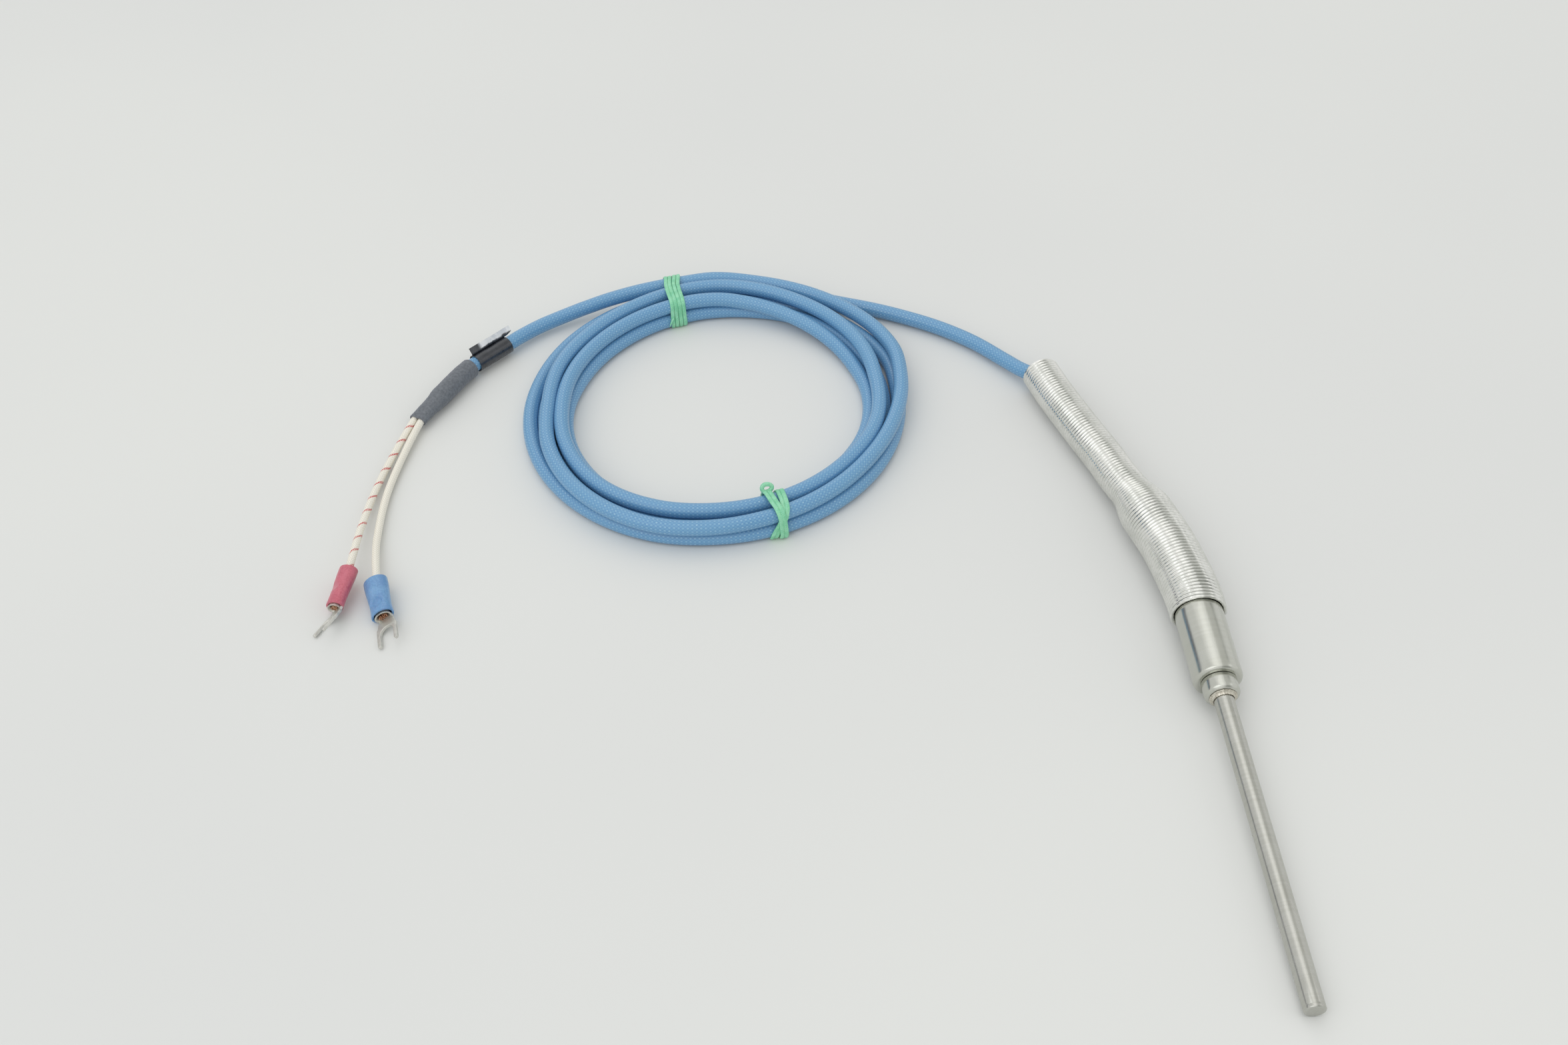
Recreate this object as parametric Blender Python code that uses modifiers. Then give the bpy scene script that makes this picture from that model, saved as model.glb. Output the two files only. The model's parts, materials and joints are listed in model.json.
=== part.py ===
"""Thermocouple probe with a spring strain relief, a coiled extension cable and two fork terminals.

Metres, +Z up. The origin is on the surface that the thermocouple lies on, under the middle of the
probe and its strain relief. The probe points along -Y, and its cable is coiled on the -X side.

Bodies and joints: the cable side stays put. The strain relief swings sideways on an upright axis
in the rear part of the spring, and the probe lifts on a level axis in the front part of it.
"""
import math

import bmesh
import bpy
from mathutils import Matrix, Vector

GAP = 0.0003  # between pieces that meet end to end
FIT = 0.0001  # between pieces that sit one inside the other
MERGE = 1e-6  # points closer than this are one point
SHARP_ANGLE = math.radians(35)
ROUND_STEPS = 24
SMALL_STEPS = 12
COIL_STEPS = 48
CORD_STEP = 2.2  # diameters between the points of a cord
CORD_RESOLUTION = 2
TUBE_RESOLUTION = 6
SOCKET_SIDES = 16
BARREL_SIDES = 12
SHRINK_SIDES = 20

# Probe. Heights are measured along its own axis, from the sleeve's front face towards the tip.
SHOULDER = Vector((0.0104, -0.0187, 0.00645))
TIP_TILT = math.radians(2.6)
SHEATH_RADIUS = 0.0025
SHEATH_BORE = 0.00195
SHEATH_REACH = 0.0867
SHEATH_REAR = -0.0055
TIP_CAP = 0.0010
TIP_SPIGOT = 0.0015
TIP_EDGE = 0.00035
COLLAR_RADIUS = 0.0045
COLLAR_LENGTH = 0.0047
WELD_SIZE = 0.0009
WELD_LIP = 0.00015
SLEEVE_RADIUS = 0.0062
SLEEVE_SPIGOT = 0.0059
SLEEVE_BORE = 0.0053
SLEEVE_FRONT_WALL = 0.0025
SLEEVE_SHOWN = 0.0212
SLEEVE_LENGTH = 0.0305
EDGE = 0.0003

# Inside the sheath.
BEAD_COUNT = 8
BEAD_RADIUS = 0.00175
BEAD_BORE = 0.00042
BEADS_REAR = -0.0035
BEAD_PITCH = 0.0100
WIRE_RADIUS = 0.00025
WIRE_SIDE = 0.0006
WIRE_LEAD = 0.0008  # how far a wire runs straight out of a crimp, a bead or the cable
WIRE_LAP = 0.0020  # how much of a thermo wire is in its crimp
JUNCTION_HEIGHT = 0.0820
JUNCTION_RADIUS = 0.0006

# Inside the sleeve.
SPLICE_SIDE = 0.0019
SPLICE_FRONT = -0.0100
SPLICE_LENGTH = 0.0060
SPLICE_RADIUS = 0.0009
SPLICE_BORE = 0.00045
SPLICE_COVER_RADIUS = 0.00145
CORE_RADIUS = 0.0003
CORE_LAP = 0.0030  # how much of an extension core is in its crimp
CABLE_START = -0.0195
BUSH_FRONT = -0.0230
BUSH_REAR = -0.0300

# Strain relief: a close-wound spring, whose outside this hollow stands for.
WIRE_OF_SPRING = 0.00105
SPRING_FRONT_RADIUS = 0.0074
SPRING_REAR_RADIUS = 0.00565
NARROWING = (0.0505, 0.0400)  # along Y, from where it is narrow to where it is wide
SPRING_ROUTE = (
    (0.0104, 0.0025, 0.00745),
    (0.0104, 0.0090, 0.0076),
    (0.0094, 0.0185, 0.0076),
    (0.0079, 0.0281, 0.0076),
    (0.0057, 0.0372, 0.00745),
    (0.0032, 0.0472, 0.0069),
    (0.0006, 0.0559, 0.0062),
    (-0.0018, 0.0650, 0.0058),
    (-0.0051, 0.0749, 0.0057),
    (-0.0084, 0.0851, 0.0057),
    (-0.0112, 0.0942, 0.0057),
    (-0.0137, 0.1037, 0.0057),
)
SIDE_PIVOT = Vector((-0.0060, 0.0780, 0.0057))
LIFT_PIVOT = Vector((0.0075, 0.0300, 0.0075))

# Cable, from inside the sleeve to the heat shrink.
CABLE_RADIUS = 0.00225
CABLE_IN_SPRING_ROUTE = (
    (0.0104, 0.0030, 0.0074),
    (0.0104, 0.0125, 0.0078),
    (0.0094, 0.0200, 0.0074),
    (0.0077, 0.0290, 0.0068),
    (0.0055, 0.0380, 0.0060),
    (0.0030, 0.0480, 0.0054),
    (-0.0018, 0.0650, 0.0050),
    (-0.0084, 0.0851, 0.0046),
    (-0.0148, 0.1032, 0.0043),
)
CABLE_HEAD_ROUTE = (
    (-0.0151, 0.1038, 0.0042),
    (-0.0183, 0.1074, 0.0036),
    (-0.0228, 0.1134, 0.0029),
    (-0.0310, 0.1230, 0.0025),
    (-0.0405, 0.1307, 0.0024),
    (-0.0504, 0.1365, 0.0024),
    (-0.0605, 0.1413, 0.0024),
    (-0.0735, 0.1464, 0.0024),
)
CABLE_TAIL_ROUTE = (
    (-0.1500, 0.1451, 0.0048),
    (-0.1536, 0.1438, 0.0042),
    (-0.1599, 0.1409, 0.0035),
    (-0.1660, 0.1373, 0.0032),
    (-0.1718, 0.1323, 0.0033),
    (-0.1754, 0.1287, 0.0033),
    (-0.1800, 0.1241, 0.0034),
    (-0.1846, 0.1195, 0.0034),
    (-0.1868, 0.1171, 0.0034),
    (-0.1911, 0.1095, 0.0034),
    (-0.1934, 0.1055, 0.0033),
)

# Coil of cable, and the two ties round it.
COIL_CENTRE = Vector((-0.1111, 0.0986, 0.0))
COIL_INNER = 0.0433
COIL_OUTER = 0.0580
COIL_HEIGHT = 0.0088
COIL_CORNER = 0.0021
GROOVE_MARGIN = 0.0020
TIE_ANGLES = {"tie_back": math.radians(105), "tie_front": math.radians(-74)}
TIE_WIDTH = 0.0050
TIE_THICKNESS = 0.0011
TIE_CORNER = 0.0022

# Tape round the cable, with its loose end standing up.
TAPE_START = (-0.1754, 0.1287, 0.0033)
TAPE_END = (-0.1846, 0.1195, 0.0034)
TAPE_RADIUS = 0.0029
TAPE_BORE = 0.0026
FLAG_HEIGHT = 0.0026
FLAG_THICKNESS = 0.0004
FLAG_LEAN = math.radians(28)

# Heat shrink over the cable's end: places along it, with its half width and half height there.
SHRINK_WALL = 0.0004
SHRINK_STATIONS = (
    ((-0.1860, 0.1177, 0.0034), 0.0031, 0.0031),
    ((-0.1885, 0.1140, 0.0034), 0.0031, 0.0031),
    ((-0.1911, 0.1095, 0.0034), 0.0031, 0.0031),
    ((-0.1938, 0.1048, 0.0033), 0.0031, 0.0030),
    ((-0.1955, 0.1020, 0.0030), 0.0029, 0.0025),
    ((-0.1978, 0.0984, 0.0028), 0.0028, 0.0021),
    ((-0.1997, 0.0951, 0.0026), 0.0028, 0.0019),
)

# Leads from the heat shrink to the terminals.
LEAD_RADIUS = 0.00105
LEAD_ROUTES = {
    "lead_positive": (
        (-0.1975, 0.1009, 0.0029),
        (-0.2006, 0.0957, 0.0026),
        (-0.2055, 0.0801, 0.0018),
        (-0.2086, 0.0663, 0.0018),
        (-0.2102, 0.0499, 0.0034),
        (-0.2104, 0.0374, 0.0053),
        (-0.2112, 0.0302, 0.0047),
    ),
    "lead_negative": (
        (-0.1956, 0.0996, 0.0029),
        (-0.1987, 0.0944, 0.0026),
        (-0.2028, 0.0791, 0.0017),
        (-0.2053, 0.0642, 0.0015),
        (-0.2057, 0.0483, 0.0020),
        (-0.2048, 0.0380, 0.0029),
        (-0.2030, 0.0268, 0.0034),
    ),
}

# Crimped fork terminals. Local -Y runs to the fork, X is its width and Z its upper face.
# The fork is bent up from the barrel's line by bend.
TERMINALS = {
    "red": {
        "origin": (-0.2108, 0.0327, 0.0050),
        "heading": -12.5,
        "tilt": 9.5,
        "roll": 48,
        "bend": 18,
        "size": 1.0,
    },
    "blue": {
        "origin": (-0.2036, 0.0292, 0.0036),
        "heading": 15.7,
        "tilt": 4.5,
        "roll": 32,
        "bend": 9,
        "size": 1.14,
    },
}
TERMINAL_LENGTH = 0.0212
SOCKET_LENGTH = 0.0118
SOCKET_WALL = 0.0006
SOCKET_STATIONS = (  # back from the wire entry, half width, half height
    (0.0, 0.0030, 0.0024),
    (0.0025, 0.0030, 0.0024),
    (0.0070, 0.0027, 0.0022),
    (0.0092, 0.00265, 0.00215),
    (SOCKET_LENGTH, 0.00285, 0.0022),
)
BARREL_REAR = 0.0045
BARREL_FRONT = 0.0126
TONGUE_START = 0.0121
BARREL_WALL = 0.0006
BARREL_HALF = (0.0019, 0.0014)
CONDUCTOR_RADIUS = 0.0005
FORK_WIDTH = 0.0064
FORK_SLOT = 0.0043
FORK_ROOT = 0.0153
FORK_NECK = 0.0038
FORK_SHOULDER = 0.0004
FORK_THICKNESS = 0.0008

FINISHES = {
    "steel": ((0.62, 0.61, 0.59, 1), 0.28, 1.0),
    "spring_steel": ((0.60, 0.60, 0.59, 1), 0.32, 1.0),
    "ceramic": ((0.86, 0.84, 0.78, 1), 0.7, 0.0),
    "thermo_alloy": ((0.55, 0.52, 0.48, 1), 0.4, 1.0),
    "copper": ((0.72, 0.40, 0.25, 1), 0.35, 1.0),
    "tin": ((0.66, 0.66, 0.64, 1), 0.35, 1.0),
    "cable_blue": ((0.13, 0.33, 0.55, 1), 0.45, 0.0),
    "red_plastic": ((0.60, 0.08, 0.12, 1), 0.45, 0.0),
    "blue_plastic": ((0.10, 0.25, 0.55, 1), 0.45, 0.0),
    "green_elastic": ((0.16, 0.55, 0.28, 1), 0.6, 0.0),
    "black_tape": ((0.02, 0.025, 0.03, 1), 0.2, 0.0),
    "grey_shrink": ((0.09, 0.10, 0.11, 1), 0.6, 0.0),
    "glass_fibre": ((0.72, 0.70, 0.60, 1), 0.75, 0.0),
    "rubber": ((0.05, 0.05, 0.05, 1), 0.7, 0.0),
}


def new_collection(name):
    collection = bpy.data.collections.new(name)
    bpy.context.scene.collection.children.link(collection)
    return collection


def clear_scene():
    for obj in list(bpy.data.objects):
        bpy.data.objects.remove(obj, do_unlink=True)


def add_part(name, data, finish, parent=None, place=Matrix()):
    """Puts a named piece in the parts collection, with a material of its own."""
    obj = bpy.data.objects.new(name, data)
    parts.objects.link(obj)
    obj.parent = parent
    obj.matrix_local = place
    colour, roughness, metallic = FINISHES[finish]
    material = bpy.data.materials.new(name)
    material.use_nodes = True
    shader = material.node_tree.nodes["Principled BSDF"]
    shader.inputs["Base Color"].default_value = colour
    shader.inputs["Roughness"].default_value = roughness
    shader.inputs["Metallic"].default_value = metallic
    material.diffuse_color = colour
    data.materials.clear()
    data.materials.append(material)
    return obj


def add_cutter(name, data, parent=None, place=Matrix()):
    obj = bpy.data.objects.new(name, data)
    cutters.objects.link(obj)
    obj.parent = parent
    obj.matrix_local = place
    obj.hide_render = True
    obj.display_type = "WIRE"
    return obj


def boolean(obj, other, operation):
    modifier = obj.modifiers.new(other.name, "BOOLEAN")
    modifier.operation = operation
    modifier.object = other


def evaluated_mesh(obj):
    """The object's mesh with its modifiers applied and its loose caps welded."""
    bpy.context.view_layer.update()
    graph = bpy.context.evaluated_depsgraph_get()
    mesh = bpy.data.meshes.new_from_object(obj.evaluated_get(graph))
    shape = bmesh.new()
    shape.from_mesh(mesh)
    bmesh.ops.remove_doubles(shape, verts=shape.verts, dist=MERGE)
    bmesh.ops.recalc_face_normals(shape, faces=shape.faces)
    shape.to_mesh(mesh)
    shape.free()
    return mesh


def smooth(mesh):
    mesh.shade_smooth()
    mesh.set_sharp_from_angle(angle=SHARP_ANGLE)
    return mesh


def settled(obj, name, finish, parent=None, place=Matrix()):
    """Replaces a working object by a part with its final mesh."""
    mesh = smooth(evaluated_mesh(obj))
    mesh.name = name
    data = obj.data
    bpy.data.objects.remove(obj, do_unlink=True)
    if data.users == 0 and isinstance(data, bpy.types.Mesh):
        bpy.data.meshes.remove(data)
    return add_part(name, mesh, finish, parent, place)


def profile_mesh(name, profile):
    """An outline of (radius, height) points in the XZ plane: closed, unless it starts on the axis."""
    mesh = bpy.data.meshes.new(name)
    edges = [(i, i + 1) for i in range(len(profile) - 1)]
    if profile[0][0] > 0:
        edges.append((len(profile) - 1, 0))
    mesh.from_pydata([(radius, 0, height) for radius, height in profile], edges, [])
    return mesh


def turn_about_z(obj, steps):
    screw = obj.modifiers.new("Turn", "SCREW")
    screw.steps = steps
    screw.render_steps = steps
    screw.use_merge_vertices = True
    screw.merge_threshold = MERGE


def turned(name, profile, finish, parent=None, place=Matrix(), steps=ROUND_STEPS):
    """A turned piece about local Z, from a profile that runs down its outer side."""
    obj = add_cutter(name + "_profile", profile_mesh(name, profile))
    turn_about_z(obj, steps)
    settled(obj, name, finish, parent, place)


def ring_profile(outer, inner, top, bottom, edge=0.0):
    """A ring's section, with its outer corners bevelled by edge."""
    if edge == 0:
        return [(outer, top), (outer, bottom), (inner, bottom), (inner, top)]
    return [
        (outer - edge, top),
        (outer, top - edge),
        (outer, bottom + edge),
        (outer - edge, bottom),
        (inner, bottom),
        (inner, top),
    ]


def cylinder_mesh(name, radius, length, steps):
    """A cylinder about local Z, centred on its own origin."""
    mesh = bpy.data.meshes.new(name)
    shape = bmesh.new()
    bmesh.ops.create_cone(
        shape, cap_ends=True, segments=steps, radius1=radius, radius2=radius, depth=length
    )
    shape.to_mesh(mesh)
    shape.free()
    return mesh


def smooth_route(points, spacing):
    """Points about one spacing apart, read from a Catmull-Rom curve through the given points."""
    knots = [Vector(point) for point in points]
    ends = [2 * knots[0] - knots[1]] + knots + [2 * knots[-1] - knots[-2]]
    fine = []
    steps = 12
    for before, start, end, after in zip(ends, ends[1:], ends[2:], ends[3:]):
        for step in range(steps):
            t = step / steps
            fine.append(
                0.5
                * (
                    2 * start
                    + (end - before) * t
                    + (2 * before - 5 * start + 4 * end - after) * t**2
                    + (3 * start - before - 3 * end + after) * t**3
                )
            )
    fine.append(knots[-1])
    reach = [0.0]
    for a, b in zip(fine, fine[1:]):
        reach.append(reach[-1] + (b - a).length)
    count = max(2, round(reach[-1] / spacing))
    route = []
    place = 0
    for step in range(count + 1):
        target = reach[-1] * step / count
        while place < len(reach) - 2 and reach[place + 1] < target:
            place += 1
        share = (target - reach[place]) / (reach[place + 1] - reach[place])
        route.append(fine[place].lerp(fine[place + 1], share))
    return route


def tube_curve(name, route, radii, resolution=TUBE_RESOLUTION):
    """A round tube along a route, with its radius at each point and filled caps."""
    curve = bpy.data.curves.new(name, "CURVE")
    curve.dimensions = "3D"
    curve.twist_mode = "Z_UP"
    curve.bevel_depth = max(radii)
    curve.bevel_resolution = resolution
    curve.use_fill_caps = True
    spline = curve.splines.new("POLY")
    spline.points.add(len(route) - 1)
    for point, place, radius in zip(spline.points, route, radii):
        point.co = (*place, 1)
        point.radius = radius / max(radii)
    return curve


def cord(name, route, radius, finish, parent=None):
    curve = tube_curve(name, route, [radius] * len(route), CORD_RESOLUTION)
    return add_part(name, curve, finish, parent)


def hollow_tube(name, route, outer, inner, finish):
    """A tube with a bore along a route. The cutter of the bore runs past both ends."""
    body = add_cutter(name + "_body", tube_curve(name, route, outer))
    first = route[0] + (route[0] - route[1]).normalized() * GAP
    last = route[-1] + (route[-1] - route[-2]).normalized() * GAP
    longer = [first] + list(route) + [last]
    bore_radii = [inner[0]] + list(inner) + [inner[-1]]
    bore_curve = add_cutter(name + "_bore_route", tube_curve(name, longer, bore_radii))
    bore = add_cutter(name + "_bore", evaluated_mesh(bore_curve))
    solid = add_cutter(name + "_solid", evaluated_mesh(body))
    bpy.data.objects.remove(body)
    bpy.data.objects.remove(bore_curve)
    boolean(solid, bore, "DIFFERENCE")
    return settled(solid, name, finish)


def shell(name, outer_rings, inner_rings, finish, place=Matrix()):
    """A tube lofted through unlike rings: along its outside, then back along its inside."""
    rings = list(outer_rings) + list(reversed(inner_rings))
    shape = bmesh.new()
    rows = [[shape.verts.new(point) for point in ring] for ring in rings]
    for row, following in zip(rows, rows[1:] + rows[:1]):
        for i in range(len(row)):
            j = (i + 1) % len(row)
            shape.faces.new((row[i], row[j], following[j], following[i]))
    bmesh.ops.recalc_face_normals(shape, faces=shape.faces)
    mesh = bpy.data.meshes.new(name)
    shape.to_mesh(mesh)
    shape.free()
    return add_part(name, smooth(mesh), finish, place=place)


def oval(centre, side, up, half_width, half_height, count):
    """A ring of points round a centre, in the plane of side and up."""
    ring = []
    for step in range(count):
        angle = math.tau * step / count
        ring.append(
            centre + side * (half_width * math.cos(angle)) + up * (half_height * math.sin(angle))
        )
    return ring


def arc(centre, radius, start, end, steps):
    points = []
    for step in range(steps + 1):
        angle = math.radians(start + (end - start) * step / steps)
        points.append(
            (centre[0] + radius * math.cos(angle), centre[1] + radius * math.sin(angle))
        )
    return points


def rounded_rectangle(half_width, half_height, corner, steps=3):
    points = []
    for x, y, start in ((1, 1, 0), (-1, 1, 90), (-1, -1, 180), (1, -1, 270)):
        centre = (x * (half_width - corner), y * (half_height - corner))
        points += arc(centre, corner, start, start + 90, steps)
    return points


def flat_curve(name, outlines, thickness):
    """A flat piece in the XY plane, as thick as asked, from an outline and its holes."""
    curve = bpy.data.curves.new(name, "CURVE")
    curve.dimensions = "2D"
    curve.fill_mode = "BOTH"
    curve.extrude = thickness / 2
    for outline in outlines:
        spline = curve.splines.new("POLY")
        spline.points.add(len(outline) - 1)
        spline.use_cyclic_u = True
        for point, (x, y) in zip(spline.points, outline):
            point.co = (x, y, 0, 1)
    return curve


def add_pivot(name, place, parent=None):
    """An empty at a world place, without turning."""
    empty = bpy.data.objects.new(name, None)
    parts.objects.link(empty)
    empty.parent = parent
    start = Vector((0, 0, 0))
    above = parent
    while above:
        start += above.location
        above = above.parent
    empty.location = place - start
    return empty


def probe_axis(parent):
    """An empty on the sleeve's front face, whose +Z points along the probe to its tip."""
    empty = add_pivot("probe_axis", SHOULDER, parent)
    empty.rotation_euler = (math.radians(90) + TIP_TILT, 0, 0)
    return empty


def make_sheath(axis):
    top = SHEATH_REACH - TIP_CAP - FIT
    turned("sheath_tube", ring_profile(SHEATH_RADIUS, SHEATH_BORE, top, SHEATH_REAR), "steel", axis)
    spigot = SHEATH_BORE - FIT
    edge = arc((SHEATH_RADIUS - TIP_EDGE, SHEATH_REACH - TIP_EDGE), TIP_EDGE, 90, 0, 3)
    profile = (
        [(0, SHEATH_REACH)]
        + edge
        + [
            (SHEATH_RADIUS, SHEATH_REACH - TIP_CAP),
            (spigot, SHEATH_REACH - TIP_CAP),
            (spigot, SHEATH_REACH - TIP_CAP - TIP_SPIGOT),
            (0, SHEATH_REACH - TIP_CAP - TIP_SPIGOT),
        ]
    )
    turned("tip_cap", profile, "steel", axis)


def make_thermo_element(axis):
    """The two thermo wires in their twin-bore beads, welded together at the hot junction."""
    bead = add_cutter("bead_blank", cylinder_mesh("bead", BEAD_RADIUS, BEAD_PITCH - GAP, 16))
    for side in (-WIRE_SIDE, WIRE_SIDE):
        bore = cylinder_mesh("bead_bore", BEAD_BORE, BEAD_PITCH + GAP, 8)
        cutter = add_cutter("bead_bore", bore, place=Matrix.Translation((side, 0, 0)))
        boolean(bead, cutter, "DIFFERENCE")
    bead_mesh = smooth(evaluated_mesh(bead))
    bpy.data.objects.remove(bead)
    for number in range(BEAD_COUNT):
        height = BEADS_REAR + (number + 0.5) * BEAD_PITCH
        place = Matrix.Translation((0, 0, height))
        add_part(f"ceramic_bead_{number + 1}", bead_mesh.copy(), "ceramic", axis, place)

    beads_end = BEADS_REAR + BEAD_COUNT * BEAD_PITCH
    for name, side in (("thermo_wire_positive", -1), ("thermo_wire_negative", 1)):
        route = (
            (side * SPLICE_SIDE, 0, SPLICE_FRONT - WIRE_LAP),
            (side * SPLICE_SIDE, 0, SPLICE_FRONT + WIRE_LEAD),
            (side * WIRE_SIDE, 0, BEADS_REAR - WIRE_LEAD),
            (side * WIRE_SIDE, 0, beads_end + WIRE_LEAD),
            (side * (WIRE_RADIUS + FIT), 0, JUNCTION_HEIGHT - JUNCTION_RADIUS - FIT),
        )
        cord(name, [Vector(point) for point in route], WIRE_RADIUS, "thermo_alloy", axis)
    profile = arc((0, 0), JUNCTION_RADIUS, 90, -90, 6)
    profile[0] = (0, JUNCTION_RADIUS)
    profile[-1] = (0, -JUNCTION_RADIUS)
    place = Matrix.Translation((0, 0, JUNCTION_HEIGHT))
    turned("hot_junction", profile, "thermo_alloy", axis, place, SMALL_STEPS)


def make_sleeve(axis):
    """The transition sleeve, open at the rear, with the collar and weld that hold the sheath in it."""
    bore = SHEATH_RADIUS + FIT
    profile = [
        (bore, 0),
        (SLEEVE_RADIUS - EDGE, 0),
        (SLEEVE_RADIUS, -EDGE),
        (SLEEVE_RADIUS, -SLEEVE_SHOWN),
        (SLEEVE_SPIGOT, -SLEEVE_SHOWN - EDGE),
        (SLEEVE_SPIGOT, -SLEEVE_LENGTH),
        (SLEEVE_BORE, -SLEEVE_LENGTH),
        (SLEEVE_BORE, -SLEEVE_FRONT_WALL),
        (bore, -SLEEVE_FRONT_WALL),
    ]
    turned("transition_sleeve", profile, "steel", axis)
    collar = ring_profile(COLLAR_RADIUS, bore, COLLAR_LENGTH, FIT, EDGE)
    turned("neck_collar", collar, "steel", axis)
    weld_foot = COLLAR_LENGTH + FIT
    hollow = arc((bore + WELD_SIZE, weld_foot + WELD_SIZE), WELD_SIZE * 0.8, 180, 270, 3)
    profile = (
        [(bore, weld_foot + WELD_SIZE)]
        + [(bore + WELD_LIP, weld_foot + WELD_SIZE)]
        + hollow[1:-1]
        + [(bore + WELD_SIZE, weld_foot + WELD_LIP), (bore + WELD_SIZE, weld_foot)]
        + [(bore, weld_foot)]
    )
    turned("weld_ring", profile, "steel", axis)
    seal = ring_profile(SLEEVE_BORE - FIT, bore, -SLEEVE_FRONT_WALL - GAP, SHEATH_REAR + GAP)
    turned("cement_seal", seal, "ceramic", axis)


def make_splices(axis):
    """Each thermo wire's crimped joint to its extension core, under an insulating cover."""
    top = SPLICE_FRONT
    bottom = SPLICE_FRONT - SPLICE_LENGTH
    for name, side in (("positive", -1), ("negative", 1)):
        place = Matrix.Translation((side * SPLICE_SIDE, 0, 0))
        crimp = ring_profile(SPLICE_RADIUS, SPLICE_BORE, top, bottom)
        turned(f"splice_crimp_{name}", crimp, "tin", axis, place, SMALL_STEPS)
        cover = ring_profile(SPLICE_COVER_RADIUS, SPLICE_RADIUS + FIT, top + GAP, bottom - GAP)
        turned(f"splice_cover_{name}", cover, "glass_fibre", axis, place, SMALL_STEPS)
        route = (
            (side * SPLICE_SIDE, 0, bottom + CORE_LAP),
            (side * SPLICE_SIDE, 0, bottom - WIRE_LEAD),
            (side * LEAD_RADIUS, 0, CABLE_START + GAP + WIRE_LEAD),
            (side * LEAD_RADIUS, 0, CABLE_START + GAP),
        )
        core = [Vector(point) for point in route]
        cord(f"extension_core_{name}", core, CORE_RADIUS, "thermo_alloy", axis)
    bush = ring_profile(SLEEVE_BORE - FIT, CABLE_RADIUS + GAP, BUSH_FRONT, BUSH_REAR)
    turned("cable_bush", bush, "rubber", axis)


def spring_radii(route, inset):
    """The spring's radius at each point of its route: wide over the sleeve, narrow at the cable."""
    narrow, wide = NARROWING
    radii = []
    for point in route:
        share = min(1, max(0, (point.y - wide) / (narrow - wide)))
        radius = SPRING_FRONT_RADIUS + (SPRING_REAR_RADIUS - SPRING_FRONT_RADIUS) * share
        radii.append(radius - inset)
    return radii


def make_strain_relief():
    route = smooth_route(SPRING_ROUTE, SPRING_REAR_RADIUS)
    outer = spring_radii(route, 0)
    inner = spring_radii(route, WIRE_OF_SPRING)
    spring = hollow_tube("strain_relief_spring", route, outer, inner, "spring_steel")
    start = SHOULDER + Vector((0, math.cos(TIP_TILT), math.sin(TIP_TILT))) * -CABLE_START
    cable_route = smooth_route((start,) + CABLE_IN_SPRING_ROUTE, CORD_STEP * 2 * CABLE_RADIUS)
    cable = cord("cable_in_spring", cable_route, CABLE_RADIUS, "cable_blue")
    for obj in (spring, cable):
        hang_on(obj, side_pivot)


def hang_on(obj, pivot):
    """Parents a piece to a pivot, and leaves it where it is."""
    bpy.context.view_layer.update()
    obj.parent = pivot
    obj.matrix_local = pivot.matrix_world.inverted()


def coil_place(angle):
    """The frame of the coil's section at an angle: local X points outwards, Y up, Z along the turns."""
    outward = Vector((math.cos(angle), math.sin(angle), 0))
    up = Vector((0, 0, 1))
    along = outward.cross(up)
    middle = COIL_CENTRE + outward * (COIL_INNER + COIL_OUTER) / 2 + up * COIL_HEIGHT / 2
    place = Matrix((outward, up, along)).transposed().to_4x4()
    place.translation = middle
    return place


def make_coil():
    """The outer shape of the coiled turns, drawn in where each tie goes round them."""
    half_width = (COIL_OUTER - COIL_INNER) / 2
    half_height = COIL_HEIGHT / 2
    middle = (COIL_INNER + COIL_OUTER) / 2
    section = rounded_rectangle(half_width, half_height, COIL_CORNER, 2)
    profile = [(middle + x, half_height + y) for x, y in reversed(section)]
    obj = add_cutter("coil_profile", profile_mesh("coil", profile))
    turn_about_z(obj, COIL_STEPS)
    ring = add_cutter("coil_ring", evaluated_mesh(obj), place=Matrix.Translation(COIL_CENTRE))
    bpy.data.objects.remove(obj)
    tie_bore = [half_width - TIE_THICKNESS, half_height - TIE_THICKNESS]
    bore_corner = TIE_CORNER - TIE_THICKNESS
    tie_outlines = (
        rounded_rectangle(half_width, half_height, TIE_CORNER),
        rounded_rectangle(*tie_bore, bore_corner),
    )
    groove_outlines = (
        rounded_rectangle(half_width + GROOVE_MARGIN, half_height + GROOVE_MARGIN, TIE_CORNER),
        rounded_rectangle(tie_bore[0] - GAP, tie_bore[1] - GAP, bore_corner),
    )
    for name, angle in TIE_ANGLES.items():
        groove = flat_curve(name + "_groove", groove_outlines, TIE_WIDTH + 2 * GAP)
        groove_curve = add_cutter(name + "_groove_curve", groove)
        cutter = add_cutter(name + "_groove", evaluated_mesh(groove_curve), place=coil_place(angle))
        bpy.data.objects.remove(groove_curve)
        boolean(ring, cutter, "DIFFERENCE")
        tie = flat_curve(name, tie_outlines, TIE_WIDTH)
        add_part(name, tie, "green_elastic", place=coil_place(angle))
    bpy.context.view_layer.update()
    settled(ring, "cable_coil", "cable_blue", place=Matrix.Translation(COIL_CENTRE))


def make_cable():
    spacing = CORD_STEP * 2 * CABLE_RADIUS
    head = smooth_route(CABLE_HEAD_ROUTE, spacing)
    cord("cable_head", head, CABLE_RADIUS, "cable_blue")
    tail = smooth_route(CABLE_TAIL_ROUTE, spacing)
    cord("cable_tail", tail, CABLE_RADIUS, "cable_blue")


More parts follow.
